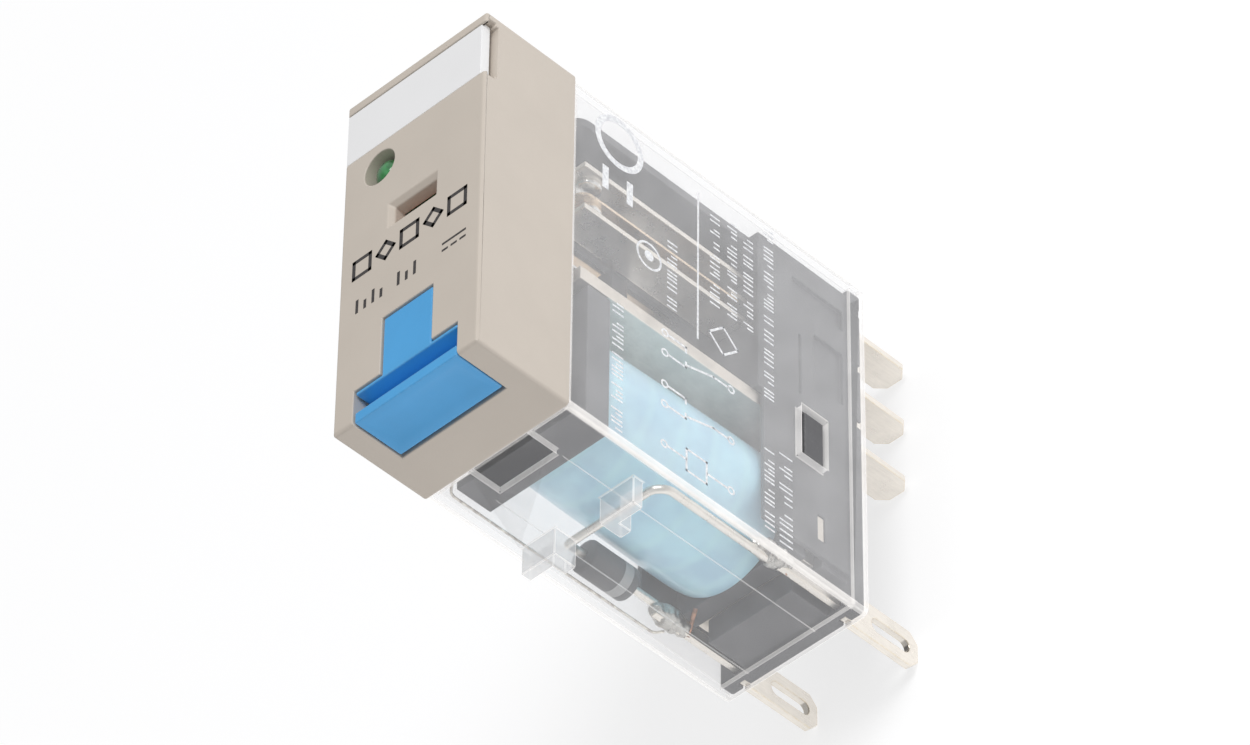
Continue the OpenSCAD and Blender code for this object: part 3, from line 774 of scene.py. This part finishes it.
class Sheet:
    """Collects flat ink shapes drawn in a plane, then lays them on a face."""

    def __init__(self, name):
        self.name = name
        self.shapes = []

    def stroke(self, start, end, width):
        """Straight line with square ends."""
        deselect()
        start, end = Vector((*start, 0)), Vector((*end, 0))
        way = end - start
        bpy.ops.mesh.primitive_plane_add(size=1, location=(start + end) / 2)
        made = bpy.context.object
        made.rotation_euler = (0, 0, math.atan2(way.y, way.x))
        made.scale = (way.length, width, 1)
        self.shapes.append(settle(made))

    def polyline(self, points, width):
        """Joined lines; each runs half a width past its ends so that corners close."""
        for start, end in zip(points, points[1:]):
            start, end = Vector(start), Vector(end)
            over = (end - start).normalized() * width / 2
            self.stroke(start - over, end + over, width)

    def outline(self, centre, wide, tall, width, tilted=False):
        """Closed box, or the diamond that fits into it."""
        x, y = centre
        a, b = wide / 2 - width / 2, tall / 2 - width / 2
        if tilted:
            points = [(x - a, y), (x, y + b), (x + a, y), (x, y - b), (x - a, y)]
        else:
            points = [(x - a, y - b), (x - a, y + b), (x + a, y + b), (x + a, y - b), (x - a, y - b)]
        self.polyline(points, width)

    def ring(self, centre, radius, width):
        """Open circle, drawn as a disc with its middle taken out."""
        deselect()
        bpy.ops.mesh.primitive_circle_add(
            vertices=32, radius=radius, fill_type="NGON", location=(*centre, 0)
        )
        made = settle(bpy.context.object)
        edit(made)
        bpy.ops.mesh.select_all(action="SELECT")
        bpy.ops.mesh.inset(thickness=width)
        bpy.ops.mesh.delete(type="FACE")
        done()
        self.shapes.append(made)

    def dot(self, centre, radius):
        """Filled circle."""
        deselect()
        bpy.ops.mesh.primitive_circle_add(
            vertices=24, radius=radius, fill_type="NGON", location=(*centre, 0)
        )
        self.shapes.append(settle(bpy.context.object))

    def lay(self, turn, place, thickness):
        """Joins the shapes, turns them into place and thickens them into a film."""
        piece = join(*self.shapes)
        piece.name = self.name
        piece.data.name = self.name
        edit(piece)
        bpy.ops.mesh.select_all(action="SELECT")
        bpy.ops.mesh.extrude_region_move(TRANSFORM_OT_translate={"value": (0, 0, thickness)})
        bpy.ops.mesh.select_all(action="SELECT")
        bpy.ops.mesh.normals_make_consistent(inside=False)
        done()
        piece.rotation_euler = turn
        piece.location = place
        return settle(piece)


def tick_row(sheet, start, end, level, height, width, seed):
    """A row of plain upright ticks in groups, where a line of small print would be."""
    dice = random.Random(seed)
    at = start + width / 2
    while at < end:
        for _ in range(dice.randint(2, 6)):
            if at > end:
                break
            tall = height * dice.choice((1, 1, 0.62))
            sheet.stroke((at, level - height / 2), (at, level - height / 2 + tall), width)
            at += width + height * dice.choice((0.2, 0.32))
        at += height * 0.45


# ------------------------------------------------------------------ operators


class RELAY_OT_cap(Operator):
    """Front cap with its window, LED hole and nameplate channel"""

    bl_idname = "relay.front_cap"
    bl_label = "Front cap"

    def execute(self, context):
        edge = context.scene.relay_sizes.moulded_edge / MM
        fit_out(eased("cap", "front_cap", edge), finish("beige_plastic"), "cap")
        return {"FINISHED"}


class RELAY_OT_front_pieces(Operator):
    """Nameplate, test button and indicator flag"""

    bl_idname = "relay.front_pieces"
    bl_label = "Nameplate, button and flag"

    def execute(self, context):
        edge = context.scene.relay_sizes.moulded_edge / MM
        plate = eased("nameplate", "marking_plate", edge * 0.6)
        fit_out(plate, finish("white_plastic"), "nameplate")
        slider = eased("test_button", "test_slider", edge * 1.2, 3, self.dish)
        fit_out(slider, finish("blue_plastic"), "test_button")
        flag = eased("indicator_flag", "signal_flag", edge * 0.6)
        fit_out(flag, finish("flag_plastic"), "indicator_flag")
        return {"FINISHED"}

    def dish(self, piece):
        """Hollows the thumb pad on the end face of the button."""
        end = corners("test_button")[0].x
        edit(piece)
        pick(piece, lambda face: face.normal.x < -0.99 and abs(face.center.x - end) < 0.01)
        bpy.ops.mesh.inset(thickness=0.3)
        bpy.ops.mesh.inset(thickness=0.5)
        bpy.ops.transform.translate(value=(0.16, 0, 0))
        bpy.ops.mesh.inset(thickness=0.6)
        bpy.ops.transform.translate(value=(0.08, 0, 0))
        done()


class RELAY_OT_led(Operator):
    """LED with its domed lens and flange, and the leads below it"""

    bl_idname = "relay.led"
    bl_label = "LED"

    def execute(self, context):
        low, high = corners("led_lens")
        centre = (low + high) / 2
        flange_r, flange_t, ease = (high.x - low.x) / 2, 0.6, 0.06
        lens_r = flange_r - 0.25
        dome_z = high.z - lens_r
        arc = [(lens_r * math.cos(a), dome_z + lens_r * math.sin(a))
               for a in (math.radians(10 * i) for i in range(10))]
        top = low.z + flange_t
        profile = [(0, low.z), (flange_r - ease, low.z), (flange_r, low.z + ease),
                   (flange_r, top - ease), (flange_r - ease, top), (lens_r, top), *arc]
        lens = turned("led_dome", profile, (centre.x, centre.y, 0))
        fit_out(lens, finish("green_lens"), "led_lens")
        fit_out(eased("led_leads", "led_legs", 0.03), finish("terminal_metal"), "led_leads")
        return {"FINISHED"}


class RELAY_OT_board(Operator):
    """Indicator board with its resistor"""

    bl_idname = "relay.board"
    bl_label = "Indicator board"

    def execute(self, context):
        fit_out(eased("indicator_board", "led_board", 0.04), finish("board"), "indicator_board")
        low, high = corners("resistor")
        x, z = (low.x + high.x) / 2, high.z - 0.75
        half, waist, end_r = 2.05, 0.62, 0.75
        cap_end = [(0, 0), (end_r * 0.6, 0), (end_r * 0.92, 0.12),
                   (end_r, 0.35), (end_r, 0.6), (waist, 0.95)]
        profile = mirrored(cap_end, -half, half)
        body = turned("resistor_body", profile, (x, 0, z), axis=(0, 1, 0))
        fit_out(body, finish("resistor_coat"), "resistor")
        reach, leg_r = high.y - 0.22, 0.2
        bend = context.scene.relay_sizes.wire_bend / MM
        legs = [
            wire("leg", [(x, s * (half - 0.1), z), (x, s * reach, z), (x, s * reach, low.z)], leg_r, bend)
            for s in (-1, 1)
        ]
        legs = join(*legs)
        legs.name = "resistor_legs"
        fit_out(legs, finish("terminal_metal"), "resistor")
        return {"FINISHED"}


class RELAY_OT_cover(Operator):
    """Clear cover with its hold-down lugs and latch windows"""

    bl_idname = "relay.cover"
    bl_label = "Clear cover"

    def execute(self, context):
        edge = context.scene.relay_sizes.moulded_edge / MM
        shell = eased("cover", "clear_shell", edge)
        bright = self.bright_faces(shell)
        fit_out(shell, finish("clear_plastic"), "cover")
        shell.data.materials.append(finish("clear_edge"))
        shell.data.materials.append(finish("clear_lug"))
        # painted highlight: the narrow faces take the brighter, glowing edge finish
        for index in bright:
            shell.data.polygons[index].material_index = 1
        # the lugs stand off the wall and read as solid blocks, with a thicker veil and a faint painted
        # glow
        past_wall = -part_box("cover")[1].x - 0.1 * MM
        for face in shell.data.polygons:
            if face.center.x < past_wall and face.material_index == 0:
                face.material_index = 2
        fit_out(self.corner_highlight_strips(), finish("clear_core"), "cover")
        return {"FINISHED"}

    def bright_faces(self, shell):
        """Narrow faces: roundings, and the wall's own thickness round its openings, which carry the
        painted edge highlight.
        """
        narrow, shortest = 0.62, 0.15
        found = []
        for face in shell.data.polygons:
            lengths = sorted(
                (shell.data.vertices[a].co - shell.data.vertices[b].co).length
                for a, b in face.edge_keys
            )
            longest = lengths[-1]
            if face.area / max(longest, MERGE) < narrow and longest > shortest:
                found.append(face.index)
        return found

    def corner_highlight_strips(self):
        """Strip on the mitre in each upright corner of the wall: a painted highlight for the bright band
        that light makes there.
        """
        outer = corners("cover")[1]
        foot, top = 1.1, 26.9
        thin = 0.02                      # half the thickness of a band
        reach, inset = 0.33, 0.27        # half the width of a mitre, and its place
        shoulder_z, shoulder_in, shoulder_end = (26.5, 26.95), 0.3, 0.6
        line_in, line_half, line_top = (0.08, 0.14), 0.03, 23.8
        strips = []
        for sx in (-1, 1):
            for sy in (-1, 1):
                # each strip is a glowing sheet that stands for light caught in the corner: painted
                # highlight
                strip = block("core", (-thin, -reach, foot), (thin, reach, top))
                strip.rotation_euler = (0, 0, sx * sy * math.pi / 4)
                strip.location = (sx * (outer.x - inset), sy * (outer.y - inset), 0)
                strips.append(settle(strip))
        # painted highlight along the shoulder under the cap, all round
        low, high = shoulder_z
        end_x, end_y = outer.x - shoulder_end, outer.y - shoulder_end
        for s in (-1, 1):
            x, y = s * (outer.x - shoulder_in), s * (outer.y - shoulder_in)
            strips.append(block("core", (-end_x, y - thin, low), (end_x, y + thin, high)))
            strips.append(block("core", (x - thin, -end_y, low), (x + thin, end_y, high)))
        # flow lines of the mould down the narrow side with the lugs
        near, far = (-outer.x + depth for depth in line_in)
        for y in MOULD_LINES:
            strips.append(block("core", (near, y - line_half, foot), (far, y + line_half, line_top)))
        piece = join(*strips)
        piece.name = "corner_bands"
        return piece


class RELAY_OT_base(Operator):
    """Black base that carries the terminals"""

    bl_idname = "relay.base"
    bl_label = "Base"

    def execute(self, context):
        edge = context.scene.relay_sizes.moulded_edge / MM
        fit_out(eased("base", "base_moulding", edge), finish("black_plastic"), "base")
        return {"FINISHED"}


class RELAY_OT_terminals(Operator):
    """Blade terminals with rounded stamped edges"""

    bl_idname = "relay.terminals"
    bl_label = "Terminals"

    def execute(self, context):
        edge = context.scene.relay_sizes.stamped_edge / MM
        names = {"coil_terminal": "coil_blade", "nc_terminal": "break_blade",
                 "com_terminal": "common_blade", "no_terminal": "make_blade"}
        for node, name in names.items():
            for side in "ab":
                piece = eased(f"{node}_{side}", f"{name}_{side}", edge)
                fit_out(piece, finish("terminal_metal"), f"{node}_{side}")
        return {"FINISHED"}


class RELAY_OT_contacts(Operator):
    """Contact springs and their rivets"""

    bl_idname = "relay.contacts"
    bl_label = "Contact springs"

    def execute(self, context):
        leaf_edge, rivet_edge = 0.03, 0.08
        for side in "ab":
            leaf = eased(f"moving_spring_{side}", f"contact_leaf_{side}", leaf_edge)
            fit_out(leaf, finish("spring_bronze"), f"moving_spring_{side}")
            rivets = eased(f"moving_contacts_{side}", f"leaf_rivets_{side}", rivet_edge, 3)
            fit_out(rivets, finish("contact_silver"), f"moving_contacts_{side}")
        for node, name in (("nc_contacts", "break_rivets"), ("no_contacts", "make_rivets")):
            fit_out(eased(node, name, rivet_edge, 3), finish("contact_silver"), node)
        return {"FINISHED"}


class RELAY_OT_magnet(Operator):
    """Yoke, core, armature, card and hinge spring"""

    bl_idname = "relay.magnet"
    bl_label = "Magnet"

    def execute(self, context):
        edge = context.scene.relay_sizes.stamped_edge / MM
        rows = [("yoke", "magnet_yoke", edge, "yoke_steel"), ("core", "iron_core", edge, "yoke_steel"),
                ("armature", "armature_plate", edge, "yoke_steel"),
                ("hinge_spring", "heel_spring", 0.03, "spring_steel"),
                ("card", "pusher_card", 0.08, "black_plastic")]
        for node, name, width, look in rows:
            fit_out(eased(node, name, width), finish(look), node)
        return {"FINISHED"}


class RELAY_OT_coil(Operator):
    """Coil former, winding and the tape round it"""

    bl_idname = "relay.coil"
    bl_label = "Coil"

    def execute(self, context):
        sizes = context.scene.relay_sizes
        former = eased("bobbin", "coil_former", sizes.moulded_edge / MM)
        fit_out(former, finish("black_plastic"), "bobbin")
        fit_out(eased("winding", "wire_winding", 0.1), finish("winding"), "winding")
        fit_out(self.tape(sizes.tape_step / MM), finish("tape"), "coil_tape")
        return {"FINISHED"}

    def tape(self, step):
        """Wrapped film that is a little fuller low down, with a step where it ends."""
        low, high = corners("coil_tape")
        full = (high.x - low.x) / 2 - step
        inner = full - 0.7
        tall = high.z - low.z
        shape = [(full - 0.28, 0), (full - 0.12, 0.02), (full - 0.03, 0.06), (full, 0.12),
                 (full - 0.02, 0.25), (full - 0.07, 0.45), (full - 0.13, 0.7), (full - 0.24, 0.97),
                 (full - 0.34, 1)]
        profile = [(inner, low.z), *[(r, low.z + share * tall) for r, share in shape],
                   (inner, high.z), (inner, low.z)]
        centre = (low + high) / 2
        piece = turned("coil_wrap", profile, (0, 0, 0), 96)
        # the last turn of film covers part of the circle and ends in a step
        edit(piece, "VERT")
        pick(piece, lambda vertex: math.hypot(vertex.co.x, vertex.co.y) > inner + 0.05
             and -2.3 < math.atan2(vertex.co.y, vertex.co.x) < 1.2, "vertices")
        grown = (full + step) / full
        bpy.ops.transform.resize(value=(grown, grown, 1), center_override=(0, 0, 0))
        done()
        piece.location = (centre.x, centre.y, 0)
        return settle(piece)


class RELAY_OT_diode(Operator):
    """Surge diode with its band and its bent leads"""

    bl_idname = "relay.diode"
    bl_label = "Surge diode"

    def execute(self, context):
        low, high = corners("diode_body")
        centre = (low + high) / 2
        r = (high.x - low.x) / 2
        round_in, lead_hole = 0.22, 0.45
        band_low, band_high = low.z + 0.7, low.z + 1.45
        end = [(0, 0), (lead_hole, 0), (r - round_in, 0.03), (r - 0.05, 0.12), (r, round_in)]
        profile = mirrored(end, low.z, high.z, [(r, band_low), (r, band_high)])
        piece = turned("diode_barrel", profile, (centre.x, centre.y, 0), 48)
        fit_out(piece, finish("diode_epoxy"), "diode_body")
        piece.data.materials.append(finish("diode_band"))
        for face in piece.data.polygons:
            if band_low * MM < face.center.z < band_high * MM:
                face.material_index = 1
        self.leads(context.scene.relay_sizes.wire_bend / MM)
        return {"FINISHED"}

    def leads(self, bend):
        """One lead crosses over to the other coil terminal, one goes straight down."""
        low, high = corners("diode_leads")
        body_low, body_high = corners("diode_body")
        x, y = (body_low.x + body_high.x) / 2, (body_low.y + body_high.y) / 2
        r = 0.3
        foot = 7.0                       # both leads end in the solder
        cross_x, cross_z = low.x + r, high.z - r
        far_y = low.y + r
        crossing = wire("cross_lead", [
            (x, y, body_high.z - r), (x, y, cross_z - 0.9), (cross_x, y - 0.6, cross_z),
            (cross_x, far_y + 0.7, cross_z), (cross_x, far_y, cross_z - 0.7), (cross_x, far_y, foot + 0.4),
            (cross_x + 0.2, far_y, foot)], r, bend * 1.4)
        lower = wire("short_lead", [(x, y, body_low.z + r), (x, y, foot + 1), (x - 0.3, y, foot)], r, bend)
        piece = join(crossing, lower)
        piece.name = "diode_wires"
        fit_out(piece, finish("terminal_metal"), "diode_leads")


class RELAY_OT_wiring(Operator):
    """Thin wires of the indicator and the coil, and the solder on the posts"""

    bl_idname = "relay.wiring"
    bl_label = "Wires and solder"

    def execute(self, context):
        sizes = context.scene.relay_sizes
        low, high = corners("indicator_wires")
        r = 0.09
        hole_x, hole_y, hole_z = -12.6, 4.55, 26.1       # where they pass the top of the cover
        foot = 7.0                                       # where they end in the solder
        top, left, wide = high.z - r, low.x + r, high.y - r
        runs = [
            wire("run", [(high.x - r, s * hole_y, top), (hole_x, s * hole_y, top),
                         (hole_x, s * hole_y, hole_z),
                         (left, s * wide, hole_z - 0.35), (left, s * wide, foot + 0.6),
                         (left + 0.25, s * (wide - 0.4), foot)], r, sizes.wire_bend / MM)
            for s in (-1, 1)
        ]
        piece = join(*runs)
        piece.name = "indicator_leads"
        fit_out(piece, finish("tinned_wire"), "indicator_wires")
        fit_out(eased("coil_leads", "coil_ends", 0.03), finish("copper"), "coil_leads")
        fit_out(self.solder(sizes.solder_lumps / MM), finish("solder"), "solder_joints")
        return {"FINISHED"}

    def solder(self, lumps):
        """Drops that have run together, with an uneven skin."""
        low, high = corners("solder_joints")
        x, tall = (low.x + high.x) / 2, high.z - low.z
        drops = []
        for s in (-1, 1):
            y = s * (high.y - 0.85)
            for share, radius in ((0.19, 0.68), (0.4, 0.84), (0.62, 0.82), (0.82, 0.64)):
                deselect()
                bpy.ops.mesh.primitive_uv_sphere_add(
                    segments=24, ring_count=14, radius=radius, location=(x, y, low.z + share * tall)
                )
                drops.append(settle(bpy.context.object))
        piece = join(*drops)
        piece.name = "solder_drops"
        modify(piece, "REMESH", mode="VOXEL", voxel_size=0.09)
        skin = bpy.data.textures.new("solder_skin", "CLOUDS")
        skin.noise_scale = 0.6
        skin.noise_depth = 1
        modify(piece, "DISPLACE", texture=skin, texture_coords="LOCAL",
               strength=lumps * 2.5, mid_level=0.62)
        modify(piece, "SMOOTH", iterations=2)
        activate(piece)
        bpy.ops.object.shade_smooth()
        return piece


class RELAY_OT_front_print(Operator):
    """Plain marks printed on the front face"""

    bl_idname = "relay.front_print"
    bl_label = "Front print"

    def execute(self, context):
        sizes = context.scene.relay_sizes
        line = sizes.stroke_width / MM
        sheet = Sheet("front_marks")
        # wide mark: five open boxes, square and tilted by turns
        first, pitch, level = -4.3, 2.12, -1.05
        for i in range(5):
            sheet.outline((first + pitch * i, level), 1.75, 1.7, line * 1.45, tilted=i % 2 == 1)
        # rating row: groups of ticks
        foot, pitch, tall, short = -4.95, 0.72, 1.15, 0.75
        for start, count in ((-4.6, 4), (-0.9, 3)):
            for i in range(count):
                at, height = start + pitch * i, short if i % 2 else tall
                sheet.stroke((at, foot), (at, foot + height), line * 1.2)
        # sign for direct current: a line over three dashes
        start, end, over, under, thin = 2.95, 5.05, -4.05, -4.62, 0.17
        dash, pitch = 0.54, 0.78
        sheet.stroke((start, over), (end, over), thin)
        for i in range(3):
            at = start + pitch * i
            sheet.stroke((at, under), (at + dash, under), thin)
        top = corners("cap")[1].z
        film = sizes.ink_thickness / MM
        piece = sheet.lay((0, 0, -math.pi / 2), (0, 0, top), film)
        tie_print(piece, "ink_dark")
        return {"FINISHED"}


class RELAY_OT_side_print(Operator):
    """Wiring diagram and plain marks printed on the side of the cover"""

    bl_idname = "relay.side_print"
    bl_label = "Side print"

    def execute(self, context):
        sizes = context.scene.relay_sizes
        line = sizes.stroke_width / MM * 0.85
        sheet = Sheet("side_marks")
        # wide mark near the end of the case, and a long rule
        sheet.ring((11.2, 22.9), 2.2, 0.5)
        for level in (24.1, 21.9):
            sheet.stroke((6.4, level), (8.4, level), 0.55)
        sheet.stroke((-1, 15.65), (12, 15.65), line * 0.9)
        # plain ring and diamond
        eye = (3.2, 20.1)
        sheet.ring(eye, 1.15, line)
        sheet.dot(eye, 0.4)
        x, z, half = 0.4, 13.3, 1.2
        sheet.polyline([(x, z + 1.3), (x + half, z), (x, z - 1.3), (x - half, z), (x, z + 1.3)], line)
        for base in (-4.2, -8.6):
            self.changeover(sheet, base, line)
        self.coil_sign(sheet, line)
        # rows of small ticks: start and end along X, level and height along Z
        rows = [(-13.6, -2.6, 22.8, 1), (3, 11.5, 14.1, 0.9), (3, 11.5, 12.5, 0.9), (3, 11, 11, 0.9),
                (-1.8, 13.6, 9.1, 0.9), (-13, -6, 9.1, 0.9), (-13.4, -5.8, 7.6, 1.2), (0, 6, 18, 0.9)]
        for i, (start, end, level, height) in enumerate(rows):
            tick_row(sheet, start, end, level, height, line * 0.8, 11 + i)
        low = corners("cover")[0]
        piece = sheet.lay((math.pi / 2, 0, 0), (0, low.y, 0), sizes.ink_thickness / MM)
        tie_print(piece, "ink_pale")
        return {"FINISHED"}

    def changeover(self, sheet, x, line):
        """Sign for a changeover contact with three open ends."""
        top, low = SIGN_ENDS
        wide, drop = 1.7, 1.9
        middle, stub = x + wide / 2, 0.4
        for place in ((x, top), (x + wide, top), (middle, low)):
            sheet.ring(place, SIGN_RING, line * 0.8)
        for at, turn in ((x, stub), (x + wide, -stub)):
            sheet.polyline([(at, top - SIGN_RING), (at, top - drop), (at + turn, top - drop)], line)
        blade = [(middle, low + SIGN_RING), (middle, low + 1.6), (x + 0.25, top - drop - 0.2)]
        sheet.polyline(blade, line)

    def coil_sign(self, sheet, line):
        """Sign for a coil: a box between two open ends."""
        x, half = -12, 0.9
        low, high = 14.8, 16.6
        box = [(x - half, low), (x + half, low), (x + half, high), (x - half, high), (x - half, low)]
        sheet.polyline(box, line)
        for start, end in ((high, 18.3), (low, 12.9)):
            sheet.stroke((x, start), (x, end), line)
        for level in SIGN_ENDS:
            sheet.ring((x, level), SIGN_RING, line * 0.8)


def tie_print(piece, look):
    """A print is part of no CAD node: it lies on the case."""
    to_metres(piece)
    piece.data.materials.append(finish(look))
    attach(piece, "case")


class RELAY_OT_stage(Operator):
    """Camera, pale floor and soft light"""

    bl_idname = "relay.stage"
    bl_label = "Stage"

    def execute(self, context):
        stage = context.scene.relay_stage
        self.camera(context, stage)
        self.floor(stage)
        self.light()
        context.scene.view_settings.view_transform = "Standard"
        return {"FINISHED"}

    def camera(self, context, stage):
        ahead = Vector(stage.camera_ahead).normalized()
        up = Vector(stage.camera_up)
        right = ahead.cross(up).normalized()
        up = right.cross(ahead)
        data = bpy.data.cameras.new("camera")
        data.lens = stage.lens
        data.sensor_width = 36
        data.clip_start, data.clip_end = 0.01, 20
        camera = bpy.data.objects.new("camera", data)
        turn = Matrix((right, up, -ahead)).transposed().to_4x4()
        camera.matrix_world = Matrix.Translation(stage.camera_place) @ turn
        context.scene.collection.objects.link(camera)
        context.scene.camera = camera

    def floor(self, stage):
        deselect()
        level = CAD_BOX[0].z - 0.05 * MM
        bpy.ops.mesh.primitive_plane_add(size=stage.floor_size, location=(0, 0, level))
        floor = named("studio_floor")
        settle(floor)
        floor.data.materials.append(finish("floor"))

    def light(self):
        """Even pale surroundings and one soft lamp high on the near side."""
        world = bpy.data.worlds.new("studio")
        bpy.context.scene.world = world
        world.use_nodes = True
        background = world.node_tree.nodes["Background"]
        background.inputs["Color"].default_value = (1.0, 1.0, 1.0, 1)
        background.inputs["Strength"].default_value = 0.42
        target, place = Vector((0, 0, 0.014)), Vector((0.12, -0.28, 0.5))
        data = bpy.data.lights.new("key", "AREA")
        data.shape = "DISK"
        data.size = 0.3
        data.energy = 1.75
        light = bpy.data.objects.new("key", data)
        light.location = place
        light.rotation_euler = (target - place).to_track_quat("-Z", "Y").to_euler()
        bpy.context.scene.collection.objects.link(light)


PIECE_OPERATORS = (
    RELAY_OT_base, RELAY_OT_terminals, RELAY_OT_magnet, RELAY_OT_coil, RELAY_OT_contacts,
    RELAY_OT_diode, RELAY_OT_wiring, RELAY_OT_board, RELAY_OT_led, RELAY_OT_cover,
    RELAY_OT_cap, RELAY_OT_front_pieces, RELAY_OT_front_print, RELAY_OT_side_print, RELAY_OT_stage,
)


class RELAY_PT_panel(Panel):
    """Lists the relay's pieces and settings"""

    bl_idname = "RELAY_PT_panel"
    bl_label = "Relay"
    bl_space_type = "VIEW_3D"
    bl_region_type = "UI"
    bl_category = "Relay"

    def draw(self, context):
        layout = self.layout
        for setting in SETTINGS:
            group = getattr(context.scene, setting)
            box = layout.box()
            for key in group.bl_rna.properties.keys():
                if key not in ("rna_type", "name"):
                    box.prop(group, key)
        for operator in PIECE_OPERATORS:
            layout.operator(operator.bl_idname)


SETTINGS = {"relay_sizes": RelaySizes, "relay_colours": RelayColours, "relay_stage": RelayStage}


def register():
    for one in (*SETTINGS.values(), *PIECE_OPERATORS, RELAY_PT_panel):
        bpy.utils.register_class(one)
    for key, group in SETTINGS.items():
        setattr(bpy.types.Scene, key, PointerProperty(type=group))


def unregister():
    for key in SETTINGS:
        delattr(bpy.types.Scene, key)
    for one in reversed((*SETTINGS.values(), *PIECE_OPERATORS, RELAY_PT_panel)):
        bpy.utils.unregister_class(one)


def main():
    register()
    build_groups()
    for operator in PIECE_OPERATORS:
        family, action = operator.bl_idname.split(".")
        getattr(getattr(bpy.ops, family), action)()
    deselect()


if __name__ == "__main__":
    main()
